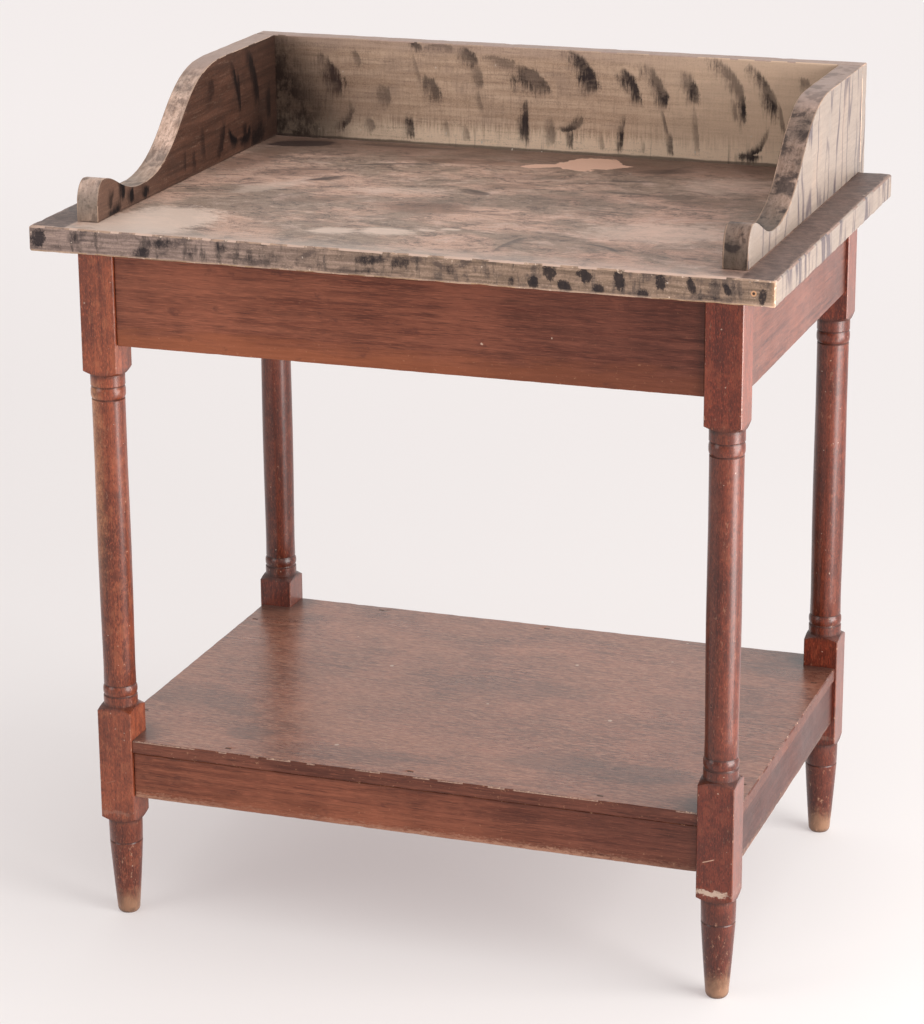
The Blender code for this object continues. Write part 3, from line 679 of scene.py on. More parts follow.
def shelf_stain():
    """Top of the shelf: lengthwise grain under worn, dusty varnish, with dark smudges."""
    low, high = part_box("Shelf_board")
    material, place = start_material("shelf_stain")
    body, relief = stained_wood(place, 0, 21.0, (0.125, 0.042, 0.024), (0.3, 0.112, 0.066), 150.0, 0.7)
    x, y, _ = axes(place)
    worn = cloud(place, (5, 9, 9), 5, 0.62, 0.4)
    dust = cloud(place, (110, 640, 640), 6, 0.76)
    smudge = patches(x, y, worn, SHELF_SMUDGES)
    body = layers(body, (
        ((0.365, 0.16, 0.1), fade(worn, 0.42, 0.64), 0.5), ((0.48, 0.275, 0.19), fade(dust, 0.5, 0.62), 0.55),
        ((0.075, 0.026, 0.016), fade(dust, 0.49, 0.38), 0.6), ((0.06, 0.034, 0.028), smudge, 0.52),
        # Painted shade: darker towards the right end.
        ((0.5, 0.46, 0.5), fade(x, 0.1, 0.33), 0.45, "MULTIPLY"),
    ))
    for leg in LEG_NODES:
        leg_low, leg_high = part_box(leg)
        middle = ((leg_low[0] + leg_high[0]) / 2, (leg_low[1] + leg_high[1]) / 2, high[2])
        from_leg = places("DISTANCE", place, middle)["Value"]
        shade = product(fade(from_leg, 0.055, 0.02), 0.7)
        body = mix(shade, body, (0.03, 0.017, 0.015))
    body = rubbed_arrises(
        body, place, (low, high), 0.0022, 5.0, ((0.08, 0.032, 0.024), 0.55), ((0.5, 0.32, 0.22), 0.75),
    )
    crumbs = cloud(place, (330, 420, 420), 4, 0.75)
    from_front = less(y, low[1])
    rim = fade(scaled(crumbs, 0.005, from_front), 0.004, 0.0026)
    body = lay(body, (0.5, 0.34, 0.255), rim, 0.6)
    body = flecked(body, place, 0.014, 0.02, (0.6, 0.48, 0.39), 0.6)
    coat = {"Coat Weight": 0.2, "Coat Roughness": 0.25}
    return finish_off(
        material, body, scaled(worn, 0.22, scaled(dust, 0.16, 0.12)), relief, SMOOTH_RELIEF, 0.5, coat,
    )


shelf_mesh = dressed_copy("Shelf_board")
# The shelf's edges take the board finish with its painted shade, darker towards the right end and all over.
SHELF_EDGE = board_stain("shelf_edge_stain", "Shelf_board", 0, 23.4, shade_to_right=0.45, painted_shade=0.75)
show(shelf_mesh, "Shelf_board", "shelf_stain", shelf_stain(), SHELF_EDGE)
face_by_side(shelf_mesh, {"z": 0, "-z": 1, "x": 1, "-x": 1, "y": 1, "-y": 1})


# Painted top: one board, brushed over in greys and browns to look like marble,
# then stained and scrubbed. Old wood shows in patches and along the arrises,
# and short dark dabs run along its front edge.
TOP_LOW, TOP_HIGH = corners("Top_board")
NAIL_HOLE = (0.3627, TOP_LOW.y, 0.7467)
GALLERY_FOOT = (0.345, 0.349)
BARE_END = (0.378, 0.3825)
TOP_PALE_PATCHES = (
    (-272, -205, 180, 124, 60, 0.6, 0.95), (-84, -190, 64, 34, 14, 0.3, 0.95),
    (-34, -178, 74, 44, 4, 0.2, 0.95), (26, -150, 26, 11, 4, 0.4, 0.8), (4, -162, 24, 10, 0, 0.4, 0.7),
    (-225, -20, 110, 40, 55, 0.3, 0.45), (225, -105, 190, 115, 14, 0.35, 0.6),
    (235, 130, 130, 110, 20, 0.3, 0.45), (-85, 5, 150, 40, 8, 0.2, 0.4),
)
TOP_BROWNS = (
    (-30, -65, 120, 56, 4, 0.3, 0.7), (-75, 164, 140, 34, 6, 0.3, 0.7), (125, 186, 120, 64, -35, 0.2, 0.7),
    (-296, 110, 180, 70, 75, 0.1, 0.7), (-225, 60, 110, 60, 24, 0.2, 0.5), (235, 40, 130, 60, 10, 0.2, 0.45),
    (20, 60, 90, 40, 20, 0.2, 0.4), (-160, -60, 110, 40, 20, 0.1, 0.4),
)
TOP_BARE_PATCHES = (
    (64, 190, 78, 66, 14, 1.0, 1.0), (18, 168, 46, 18, 24, 1.0, 0.9),
)
TOP_STAINS = (
    (-276, 205, 84, 38, 20, 0.7, 1.0), (-165, 222, 150, 14, 2, 0.5, 0.6), (152, 178, 72, 30, 20, 0.3, 0.6),
    (-182, 34, 50, 17, 34, 0.3, 0.5), (-10, 20, 44, 20, -30, 0.4, 0.55), (-20, -40, 170, 60, 10, 0.1, 0.3),
    (90, 10, 150, 70, 14, 0.1, 0.3), (336, -243, 70, 30, 0, 0.2, 0.5), (20, 110, 120, 40, 12, 0.1, 0.35),
    (190, 60, 90, 30, 8, 0.2, 0.4),
)
# Brush marks are given in mm: where each starts and ends, how far it bends, its
# width at its start and its end, and its strength.
TOP_STROKES = (
    (155, -171, 211, -197, 9, 3, 6, 0.85), (272, -204, 293, -197, 0, 9, 7, 0.7),
    (146, 149, 176, 215, 5, 4, 9, 0.65), (207, 0, 259, 2, 3, 3, 5, 0.65), (93, 106, 162, 122, 4, 6, 9, 0.8),
    (105, 58, 175, 59, 4, 4, 6, 0.65), (-200, 94, -93, 139, 9, 4, 7, 0.8),
    (-201, 18, -164, 51, 2, 8, 10, 0.8), (-29, 31, 9, 7, 3, 9, 12, 0.7), (97, -228, 110, -160, 4, 5, 9, 0.7),
    (94, -11, 185, -31, -5, 3, 5, 0.45), (-208, -82, -157, -15, 5, 3, 5, 0.4),
    (62, 84, 130, 96, 7, 5, 9, 0.55), (-60, 150, -20, 190, 0, 5, 6, 0.45), (-250, 60, -190, 78, 5, 4, 6, 0.5),
    (-110, -130, -40, -120, 3, 4, 7, 0.35), (170, 90, 230, 78, 6, 4, 6, 0.5),
    (-270, -30, -236, 0, 2, 5, 8, 0.5),
)
EDGE_SMUDGES = (
    (-335, -10, 20, 18, 90, 0.1, 0.5), (-262, -20, 30, 15, 20, 0.2, 0.75), (-236, -8, 52, 12, 3, 0.2, 0.65),
    (-208, -15, 24, 16, 60, 0.15, 0.4), (-174, -8, 28, 12, -10, 0.15, 0.5),
    (-146, -14, 20, 12, 80, 0.15, 0.4), (-122, -12, 26, 10, 70, 0.15, 0.35), (-20, -9, 42, 13, 6, 0.2, 0.7),
    (-24, -20, 30, 9, 8, 0.15, 0.5), (12, -9, 26, 15, 14, 0.25, 0.7), (62, -12, 20, 16, 80, 0.15, 0.35),
    (-80, -19, 30, 10, 4, 0.1, 0.35), (104, -10, 22, 12, 70, 0.1, 0.25), (320, -21, 30, 5, 3, 0.3, 0.4),
)
EDGE_DABS = (
    (-374, -12, 22, 19, 90, 0.5, 0.95), (147, -19, 14, 14, 60, 0.45, 1.0), (163, -8, 17, 15, -60, 0.45, 1.0),
    (178, -20, 17, 12, -25, 0.45, 0.95), (198, -8, 19, 14, -35, 0.45, 1.0), (213, -20, 13, 12, 20, 0.45, 0.9),
    (232, -11, 20, 12, -70, 0.45, 1.0), (256, -22, 12, 11, 0, 0.6, 0.7), (273, -9, 20, 12, -75, 0.45, 1.0),
    (303, -11, 19, 9, -75, 0.4, 0.95), (337, -11, 16, 8, -60, 0.6, 0.65), (371, -17, 22, 8, 80, 0.6, 0.8),
    (125, -19, 12, 8, 80, 0.5, 0.55),
)
BRUSH_WORDS = (
    "Along", "Up", "Ragged", "Bristles", "From along", "From up", "To along", "To up", "Bend", "Width",
    "Spread", "Strength",
)


def brush_mark():
    """A dry brush mark: crisp on its outer side, streaky and thin on its inner side."""
    group, given, result = effect("brush_mark", [(word, "Float") for word in BRUSH_WORDS], ("Mark",))
    along, up, ragged, bristles, *ends = given[:len(BRUSH_WORDS)]
    from_along, from_up, to_along, to_up, bend, width, spread, strength = ends
    run, rise = less(to_along, from_along), less(to_up, from_up)
    right, up = less(along, from_along), less(up, from_up)
    square = scaled(run, run, product(rise, rise))
    share = calc("DIVIDE", scaled(right, run, product(up, rise)), square)
    off = calc("DIVIDE", less(product(up, run), product(right, rise)), calc("SQRT", square))
    arch = product(share, less(1.0, share))
    off = less(off, product(arch, product(bend, 4.0)))
    width = scaled(less(spread, width), share, width)
    across = calc("DIVIDE", off, product(calc("MAXIMUM", width, 0.001), 0.5))
    ragged = less(ragged, 0.5)
    outer = fade(scaled(ragged, 1.5, across), 1.1, 0.45)
    inner = fade(scaled(ragged, 2.2, across), -1.6, 0.8)
    start = fade(scaled(ragged, 0.8, share), -0.2, 0.5)
    end = fade(scaled(ragged, 0.5, share), 1.15, 0.75)
    body = product(product(outer, inner), product(start, end))
    feed(result["Mark"], product(fade(scaled(bristles, -0.3, body), -0.06, 0.72), strength))
    return group


BRUSH_MARK = brush_mark()


def strokes(along, up, ragged, bristles, table, breadth=1.75, weight=1.0):
    """The strongest of a table of brush marks at each place."""
    marks = []
    for *ends, width, spread, strength in table:
        sizes = [end * MM for end in ends] + [breadth * width * MM, breadth * spread * MM]
        marks.append((along, up, ragged, bristles, *sizes, min(1.0, weight * strength)))
    return strongest(BRUSH_MARK, BRUSH_WORDS, marks)


def top_paint():
    """Upper face of the top: wavy marbling, pale patches, bare wood and stains."""
    material, place = start_material("top_paint")
    x, y, _ = axes(place)
    sway = cloud(place, (7, 9, 0), 3, 0.5)
    swept = put("ShaderNodeCombineXYZ", {}, {0: x, 1: scaled(sway, 0.05, y)})[0]
    tone = cloud(swept, (7, 11, 0), 7, 0.72, 0.5)
    flecking = cloud(swept, (22, 34, 0), 8, 0.76, 0.4, step=(4, 7, 0))
    waves = cloud(swept, (12, 30, 0), 7, 0.72, 0.4)
    fibres = cloud(swept, (40, 620, 0), 4, 0.6)
    ground = mix(fade(tone, 0.43, 0.57), (0.29, 0.208, 0.158), (0.545, 0.345, 0.262))
    bristles = fade(cloud(swept, (16, 330, 0), 3, 0.6), 0.4, 0.64)
    ragged = scaled(waves, 0.55, product(flecking, 0.45))
    speckle = cloud(swept, (75, 150, 0), 6, 0.8, 0.3)
    ground = layers(ground, (
        ((0.185, 0.12, 0.092), fade(flecking, 0.52, 0.63), 0.65),
        ((0.6, 0.43, 0.36), fade(flecking, 0.47, 0.36), 0.65),
        ((0.155, 0.112, 0.098), fade(fibres, 0.42, 0.66), 0.34),
        ((0.16, 0.108, 0.086), fade(speckle, 0.54, 0.64), 0.5),
        ((0.6, 0.45, 0.37), fade(speckle, 0.46, 0.36), 0.4),
    ))
    ground, relief = aged(swept, 0, ground, 0.48, 0.42)
    brown = patches(x, y, ragged, TOP_BROWNS)
    vein = product(fade(apart(waves, 0.5), 0.022, 0.004), fade(flecking, 0.42, 0.56))
    scrubbed = scaled(speckle, 0.5, product(ragged, 0.5))
    pale = patches(x, y, scrubbed, TOP_PALE_PATCHES)
    lines = strokes(x, y, ragged, bristles, TOP_STROKES)
    front = fade(scaled(ragged, 0.03, y), TOP_LOW.y + 0.06, TOP_LOW.y + 0.02)
    rear = fade(scaled(ragged, 0.06, y), TOP_HIGH.y - 0.09, TOP_HIGH.y + 0.01)
    stain = patches(x, y, ragged, TOP_STAINS)
    bare = patches(x, y, ragged, TOP_BARE_PATCHES)
    ground = layers(ground, (
        ((0.15, 0.078, 0.052), brown, 0.85), ((0.09, 0.066, 0.06), vein, 0.85),
        ((0.66, 0.51, 0.425), pale, 0.8), ((0.06, 0.047, 0.045), lines, 0.92),
        ((0.46, 0.38, 0.335), front, 0.45), ((0.105, 0.058, 0.042), rear, 0.75),
        ((0.036, 0.022, 0.02), stain, 0.92), ((0.09, 0.058, 0.048), fade(bare, 0.05, 0.35), 0.6),
    ))
    ground = mix(fade(bare, 0.35, 0.5), ground, (0.64, 0.4, 0.3))
    margin = fade(apart(x, 0.002), *GALLERY_FOOT)
    ground = lay(
        ground, mix(fade(speckle, 0.4, 0.58), (0.14, 0.09, 0.076), (0.05, 0.029, 0.025)), margin, 0.9,
    )
    # Lighter towards the left end, darker towards the right.
    ground = mix(1.0, ground, mix(fade(x, -0.02, 0.28), (1.08, 1.07, 1.06), (0.95, 0.89, 0.88)), "MULTIPLY")
    arris = worn(place, (TOP_LOW, TOP_HIGH), 0.004, 8.0)[0]
    at_front = scaled(fade(y, TOP_LOW.y + 0.008, TOP_LOW.y + 0.004), 0.55, 0.2)
    ground = lay(ground, (0.62, 0.43, 0.34), arris, at_front)
    ground = flecked(ground, place, 0.01, 0.05, (0.62, 0.52, 0.44), 0.5)
    return finish_off(material, ground, scaled(tone, 0.35, 0.3), relief, ROUGH_RELIEF, 0.4)


def edge_paint():
    """Front edge of the top: dark grey at its left, tan with dabs towards its right."""
    material, place = start_material("edge_paint")
    x, _, z = axes(place)
    up = less(z, TOP_HIGH.z)
    grain = cloud(place, (22, 1, 330), 5, 0.62)
    blotches = cloud(place, (34, 1, 60), 5, 0.62, 0.4)
    ragged = scaled(cloud(place, (260, 1, 170), 6, 0.82, 0.4), 1.8, -0.4)
    smears = cloud(place, (150, 1, 34), 3, 0.6)
    tan = mix(fade(grain, 0.3, 0.7), (0.165, 0.112, 0.08), (0.325, 0.22, 0.16))
    grey = mix(fade(grain, 0.3, 0.7), (0.165, 0.118, 0.102), (0.35, 0.25, 0.212))
    ground = mix(fade(scaled(blotches, 0.3, x), -0.15, 0.25), grey, tan)
    ground = layers(ground, (
        ((0.052, 0.04, 0.041), fade(blotches, 0.51, 0.66), 0.66),
        ((0.095, 0.072, 0.062), fade(smears, 0.5, 0.66), 0.62),
    ))
    ground, relief = aged(place, 0, ground, 0.4, 0.38)
    rim = scaled(ragged, 0.75, product(blotches, 0.25))
    dabs = calc("MAXIMUM", patches(x, up, rim, EDGE_SMUDGES), patches(x, up, rim, EDGE_DABS))
    dab = fade(scaled(calc("ADD", smears, ragged), 1.25, dabs), 1.24, 2.1)
    foot = fade(up, -0.0225, -0.025)
    end = fade(x, *BARE_END)
    from_hole = places("DISTANCE", place, NAIL_HOLE)["Value"]
    ring = apart(from_hole, 0.0021)
    ground = layers(ground, (
        ((0.015, 0.012, 0.015), dab, 0.9), ((0.46, 0.33, 0.25), product(foot, ragged), 1.1),
        ((0.36, 0.215, 0.13), end, 0.8),
    ))
    ground = mix(fade(ring, 0.001, 0.0004), ground, (0.5, 0.27, 0.15))
    ground = mix(fade(from_hole, 0.0016, 0.0011), ground, (0.05, 0.035, 0.028))
    ground = rubbed_arrises(
        ground, place, (TOP_LOW, TOP_HIGH), 0.002, 3.0, ((0.48, 0.32, 0.23), 0.75), ((0.68, 0.52, 0.41), 0.8),
    )
    ground = flecked(ground, place, 0.008, 0.09, (0.6, 0.49, 0.41), 0.7)
    return finish_off(material, ground, scaled(blotches, 0.3, 0.38), relief, ROUGH_RELIEF, 0.12)


def striped_paint(name, along, low, high, spread, soft_edge, board):
    """Cream paint with thin upright grey streaks, as on the right-hand side."""
    material, place = start_material(name)
    parts = axes(place)
    run = scaled(cloud(place, (9, 9, 16), 3, 0.5), 0.024, parts[along])
    lane = put("ShaderNodeCombineXYZ", {}, {0: run, 1: product(parts[2], 0.14), 2: board / spread})[0]
    line = fade(apart(cloud(lane, spread, 2, 0.5), 0.5), soft_edge, 0.004)
    broken = fade(cloud(place, (22, 22, 12), 3, 0.55), 0.3, 0.5)
    soft = cloud(place, (14, 14, 9), 4, 0.6)
    ground = mix(soft, (0.19, 0.15, 0.124), (0.268, 0.214, 0.178))
    ground = layers(ground, (
        ((0.275, 0.19, 0.143), fade(soft, 0.56, 0.72), 0.3),
        ((0.205, 0.18, 0.168), fade(soft, 0.44, 0.3), 0.4),
    ))
    ground, relief = aged(place, along, ground, 0.28, 0.16)
    ground = lay(ground, (0.07, 0.052, 0.058), product(line, broken), 0.92)
    ground = rubbed_arrises(
        ground, place, (low, high), 0.0014, board, ((0.3, 0.225, 0.175), 0.3), ((0.26, 0.16, 0.11), 0.7),
    )
    return finish_off(material, ground, scaled(soft, 0.3, 0.26), relief, 0.0003, 0.35)


def bare_board(name, along, board):
    """Old unpainted wood, browned with age, as under the top."""
    material, place = start_material(name)
    body, relief = stained_wood(place, along, board, (0.235, 0.135, 0.075), (0.43, 0.275, 0.165))
    dust = cloud(place, 11, 5, 0.6)
    body = lay(body, (0.17, 0.115, 0.08), fade(dust, 0.48, 0.72), 0.5)
    return finish_off(material, body, scaled(dust, 0.2, 0.62), relief, ROUGH_RELIEF)


BARE_TOP = bare_board("bare_underside", 0, 31.0)
TOP_RIGHT_PAINT = striped_paint("top_right_end_paint", 1, TOP_LOW, TOP_HIGH, 42.0, 0.085, 4.0)
TOP_LEFT_PAINT = striped_paint("top_left_end_paint", 1, TOP_LOW, TOP_HIGH, 40.0, 0.085, 7.0)
top_mesh = dressed_copy("Top_board", 0.0009)
show(top_mesh, "Top_board", "top_paint", top_paint(), edge_paint(), TOP_RIGHT_PAINT, TOP_LEFT_PAINT, BARE_TOP)
face_by_side(top_mesh, {"z": 0, "-y": 1, "x": 2, "-x": 3, "y": 4, "-z": 4})


# Gallery back: one board on edge behind the top, nailed to the top and to the
# gallery sides. Tan marbling paint with curved black brush marks that bend
# down to the right, and runs of thinned paint below them.
# Its left corner, next to the gallery side, is painted in shade.
BACK_LOW, BACK_HIGH = corners("Back_board")
NOSE_RISE = (0.8, 0.775)
LEVEL_RISE = (0.86, 0.872)
BACK_STROKES = (
    (-276, 96, -250, 45, 5, 13, 22, 1.0), (-231, 43, -248, 12, 4, 9, 8, 0.95),
    (-231, 103, -222, 82, 1, 6, 8, 0.5), (-204, 64, -188, 38, 3, 12, 13, 0.7),
    (-166, 113, -148, 103, 2, 8, 7, 0.85), (-150, 103, -106, 106, 4, 6, 7, 0.6),
    (-110, 107, -86, 86, 5, 11, 14, 0.75), (-92, 94, -81, 62, 3, 13, 9, 0.55),
    (-84, 68, -77, 38, 0, 5, 4, 0.45), (-160, 104, -150, 66, 1, 3, 4, 0.45),
    (-153, 76, -130, 46, 4, 13, 14, 0.65), (-217, 24, -205, 10, 1, 9, 10, 0.75),
    (-165, 33, -163, 5, 0, 9, 10, 0.9), (-80, 99, -38, 88, 3, 5, 13, 0.6), (-46, 90, -2, 60, 8, 10, 15, 0.95),
    (-54, 80, -2, 61, 7, 24, 14, 1.0), (-29, 60, -28, 5, 0, 9, 9, 0.85), (0, 40, 2, 5, 0, 9, 11, 0.55),
    (22, 34, 22, 6, 0, 3, 3, 0.6), (12, 109, 50, 68, 9, 15, 15, 1.0), (28, 92, 52, 66, 3, 16, 16, 0.9),
    (40, 47, 11, 27, 7, 8, 6, 0.8), (26, 28, 25, 4, 0, 4, 5, 0.85), (75, 97, 102, 56, 5, 13, 10, 0.85),
    (99, 100, 131, 53, 7, 17, 10, 0.95), (86, 50, 80, 4, 0, 5, 6, 0.9), (127, 57, 136, 22, 1, 3, 3, 0.6),
    (147, 97, 164, 60, 4, 13, 12, 0.85), (164, 61, 169, 6, 0, 5, 5, 0.45), (137, 31, 139, 4, 0, 5, 6, 0.8),
    (171, 115, 219, 38, 15, 15, 9, 1.0), (218, 109, 252, 49, 8, 9, 13, 0.9),
    (255, 74, 264, 33, 2, 4, 4, 0.75), (247, 41, 215, 8, 8, 5, 7, 1.0), (212, 5, 240, 6, 1, 9, 6, 0.9),
    (276, 92, 292, 84, 1, 12, 9, 0.6), (205, 76, 212, 44, 0, 5, 6, 0.5), (-120, 30, -118, 8, 0, 4, 6, 0.4),
    (-98, 24, -95, 6, 0, 5, 7, 0.5), (60, 24, 61, 5, 0, 4, 5, 0.4), (108, 20, 108, 4, 0, 3, 4, 0.35),
    (-245, 30, -243, 6, 0, 6, 4, 0.5),
)


def back_paint():
    """Front face of the gallery back."""
    material, place = start_material("back_paint")
    x, _, z = axes(place)
    up = less(z, TOP_HIGH.z)
    grain = cloud(place, (8, 1, 150), 6, 0.62, 0.4)
    comb = cloud(place, (520, 1, 42), 3, 0.6)
    weave = cloud(place, (700, 1, 700), 2, 0.5)
    blotches = cloud(place, (22, 1, 30), 5, 0.62, 0.3)
    ragged = cloud(place, (110, 1, 60), 6, 0.78, 0.3)
    ground = mix(fade(grain, 0.3, 0.7), (0.385, 0.255, 0.176), (0.61, 0.435, 0.318))
    low_band = fade(scaled(comb, 0.03, up), 0.045, 0.026)
    high_band = fade(up, 0.098, 0.108)
    ground = layers(ground, (
        ((0.3, 0.2, 0.144), fade(comb, 0.4, 0.7), 0.55), ((0.62, 0.45, 0.33), fade(weave, 0.35, 0.65), 0.35),
        ((0.255, 0.18, 0.145), fade(blotches, 0.48, 0.68), 0.4), ((0.88, 0.68, 0.51), low_band, 0.8),
        ((0.42, 0.3, 0.24), high_band, 0.5),
    ))
    ground, relief = aged(place, 0, ground, 0.34, 0.36)

    bristles = fade(comb, 0.38, 0.62)
    brushed = strokes(x, up, scaled(ragged, 0.92, product(comb, 0.08)), bristles, BACK_STROKES, 1.8, 1.15)
    right_side = fade(x, 0.02, 0.26)
    smoky = scaled(fade(blotches, 0.6, 0.42), 0.34, 0.62)
    run_lanes = cloud(place, (170, 1, 6), 3, 0.6)
    low_down = fade(scaled(blotches, 0.08, up), 0.075, 0.04)
    runs = product(fade(run_lanes, 0.6, 0.72), low_down)
    # Painted shade in the left corner, next to the left gallery side: a dark core with a softer half-shade
    # round it.
    curve = scaled(product(up, up), 5.0, x)
    slant = scaled(blotches, 0.05, scaled(comb, 0.035, calc("ADD", curve, -0.014)))
    corner_half_shade = fade(slant, -0.1, -0.25)
    # Painted shade in a strip along the left end.
    beside = product(fade(scaled(blotches, 0.03, x), -0.28, -0.318), 0.75)
    corner = calc("MAXIMUM", fade(slant, -0.175, -0.262), beside)
    swept = product(fade(scaled(ragged, 0.5, product(blotches, 0.5)), 0.56, 0.42), 0.26)
    seam = fade(scaled(blotches, 0.004, up), 0.0052, 0.0034)
    low_flecks = spots(times(place, (1.0, 1.0, 0.55)), 0.007, 0.22)
    near_foot = fade(up, 0.02, 0.01)
    lit = less(1.0, corner)
    flecks = spots(place, 0.01, 0.05)
    # The first layer makes the back lighter towards its right end; the fourth to sixth layers are the painted
    # shade of the left corner.
    ground = layers(ground, (
        ((0.76, 0.55, 0.4), right_side, 0.6), ((0.016, 0.012, 0.016), brushed, smoky),
        ((0.11, 0.082, 0.072), runs, 0.5), ((0.11, 0.066, 0.05), corner_half_shade, 0.32),
        ((0.15, 0.085, 0.06), corner_half_shade, swept), ((0.016, 0.009, 0.008), corner, less(0.96, swept)),
        ((0.05, 0.034, 0.028), seam, 0.75), ((0.58, 0.5, 0.42), product(low_flecks, near_foot), lit),
        ((0.62, 0.52, 0.44), product(flecks, 0.7), lit),
    ))
    return finish_off(material, ground, scaled(blotches, 0.3, 0.42), relief, ROUGH_RELIEF, 0.1)


def rim_paint(name, low, high, board, darker_rim=0.0):
    """Upper edges of the gallery: greyed paint, mottled dark, arrises bare."""
    material, place = start_material(name)
    x, _, z = axes(place)
    moved = shifted(place, board)
    mottle = cloud(moved, (46, 44, 44), 4, 0.62, 0.4)
    cloudy = cloud(moved, 16, 4, 0.6)
    fine = cloud(place, (260, 70, 70), 4, 0.6)
    ground = mix(fade(fine, 0.3, 0.7), (0.45, 0.3, 0.232), (0.76, 0.54, 0.435))
    ground = lay(ground, (0.19, 0.16, 0.145), fade(cloudy, 0.46, 0.64), 0.5)
    ground, relief = aged(moved, 1, ground, 0.5, 0.35)
    nose = fade(z, *NOSE_RISE)
    ground = lay(ground, (0.15, 0.122, 0.094), nose, 0.6)
    # The right rim is made darker all over, with stronger dark mottle.
    ground = mix(darker_rim, ground, (0.36, 0.34, 0.33), "MULTIPLY")
    level = fade(z, *LEVEL_RISE)
    strength = less(0.42 + 0.4 * darker_rim, product(level, 0.4))
    rub = cloud(place, 60, 4, 0.6)
    side = calc("MINIMUM", less(x, low[0]), less(high[0], x))
    bare = fade(scaled(rub, 0.003, less(side, 0.0022)), 0.0012, 0.0)
    ground = layers(ground, (
        ((0.375, 0.265, 0.225), level, 0.85), ((0.018, 0.013, 0.014), fade(mottle, 0.46, 0.6), strength),
        ((0.42, 0.28, 0.2), bare, 0.65),
    ))
    return finish_off(material, ground, scaled(mottle, 0.25, 0.32), relief, ROUGH_RELIEF, 0.15)


BARE_BACK = bare_board("bare_back", 0, 37.0)
back_mesh = dressed_copy("Back_board")
BACK_RIM = rim_paint("back_rim_paint", BACK_LOW, BACK_HIGH, 2.0)
BACK_END = striped_paint("back_end_paint", 1, BACK_LOW, BACK_HIGH, 30.0, 0.045, 12.0)
show(back_mesh, "Back_board", "gallery_paint", back_paint(), BACK_RIM, BARE_BACK, BACK_END)
face_by_side(back_mesh, {"-y": 0, "z": 1, "x": 3, "-x": 3, "y": 2, "-z": 2})


# Gallery sides: two boards on edge on the top, nailed from below and from
# behind, each sawn to a shoulder, a hollow sweep and a rounded nose. The left
# one's inner face is dark brown with black runs, the right one's outer face cream.
SIDE_NODES = ("Left_gallery_side", "Right_gallery_side")
INNER_STROKES = (
    (150, 113, 184, 42, 8, 10, 8, 1.0), (108, 106, 134, 50, 5, 8, 3, 0.75), (130, 94, 136, 40, 2, 4, 3, 0.7),
    (214, 66, 217, 20, 0, 9, 6, 0.95), (205, 30, 160, 8, 4, 18, 12, 1.0), (100, 34, 128, 12, -5, 5, 7, 0.9),
    (128, 12, 168, 20, -6, 8, 8, 0.95), (146, 34, 148, 6, 0, 7, 5, 0.7), (46, 88, 60, 72, 3, 14, 12, 0.45),
    (92, 48, 70, 8, 4, 6, 8, 0.6), (-182, 36, -174, 10, 5, 7, 9, 0.95), (-174, 12, -208, 4, 4, 8, 5, 0.9),
    (-196, 30, -204, 8, 0, 6, 6, 0.6), (-154, 22, -151, 3, 0, 8, 7, 1.0), (-114, 18, -121, 3, 0, 11, 7, 0.95),
    (-16, 36, -16, 8, 0, 4, 4, 0.4), (6, 30, 8, 6, 0, 5, 6, 0.45), (30, 50, 34, 10, 0, 5, 7, 0.4),
)


def inner_paint(name, low, high, board):
    """Inner face: brown paint, lighter towards the front and darker towards the rear, with black brush marks
    and runs.
    """
    material, place = start_material(name)
    _, y, z = axes(place)
    up = less(z, TOP_HIGH.z)
    moved = shifted(place, (0.0, board, 0.0))
    grain = cloud(moved, (1, 9, 150), 6, 0.62, 0.4)
    comb = cloud(moved, (1, 520, 42), 3, 0.6)
    blotches = cloud(moved, (1, 22, 26), 5, 0.6, 0.4)
    ragged = cloud(moved, (1, 120, 60), 6, 0.76, 0.3)
    ground = mix(fade(grain, 0.3, 0.7), (0.042, 0.018, 0.012), (0.104, 0.046, 0.03))
    forward = fade(scaled(blotches, 0.12, y), 0.02, -0.14)
    ground = layers(ground, (
        ((0.05, 0.027, 0.019), comb, 0.35), ((0.15, 0.086, 0.062), forward, 0.6),
        ((0.045, 0.026, 0.02), fade(blotches, 0.5, 0.68), 0.45),
    ))
    ground, relief = aged(moved, 1, ground, 0.45, 0.12)
    brushed = strokes(
        y, up, scaled(ragged, 0.6, product(comb, 0.4)), fade(comb, 0.4, 0.7), INNER_STROKES, 2.45, 1.25,
    )
    ground = mix(brushed, ground, (0.004, 0.003, 0.004))
    rear = fade(scaled(blotches, 0.1, y), 0.13, 0.29)
    seam = fade(scaled(ragged, 0.004, up), 0.0052, 0.003)
    ground = layers(ground, (
        ((0.03, 0.018, 0.014), rear, 0.65), ((0.055, 0.036, 0.03), seam, 0.6),
        ((0.33, 0.215, 0.15), worn(place, (low, high), 0.0008, board)[0], 0.5),
    ))
    return finish_off(material, ground, scaled(blotches, 0.3, 0.34), relief, ROUGH_RELIEF, 0.12)


for number, (side_node, inner_side) in enumerate(zip(SIDE_NODES, ("x", "-x"))):
    side_low, side_high = corners(side_node)
    side_mesh = dressed_copy(side_node, 0.0004)
    inner = inner_paint(side_node + "_inner_paint", side_low, side_high, 5.0 * number)
    outer = striped_paint(side_node + "_outer_paint", 1, side_low, side_high, 30.0, 0.045, 9.0 + number)
    rim = rim_paint(side_node + "_rim_paint", side_low, side_high, 6.0 + number, 0.9 * number)
    show(side_mesh, side_node, "gallery_paint", inner, outer, rim)
    outer_side = "x" if inner_side == "-x" else "-x"
    face_by_side(side_mesh, {inner_side: 0, outer_side: 1, "z": 2, "-z": 2, "y": 2, "-y": 2})


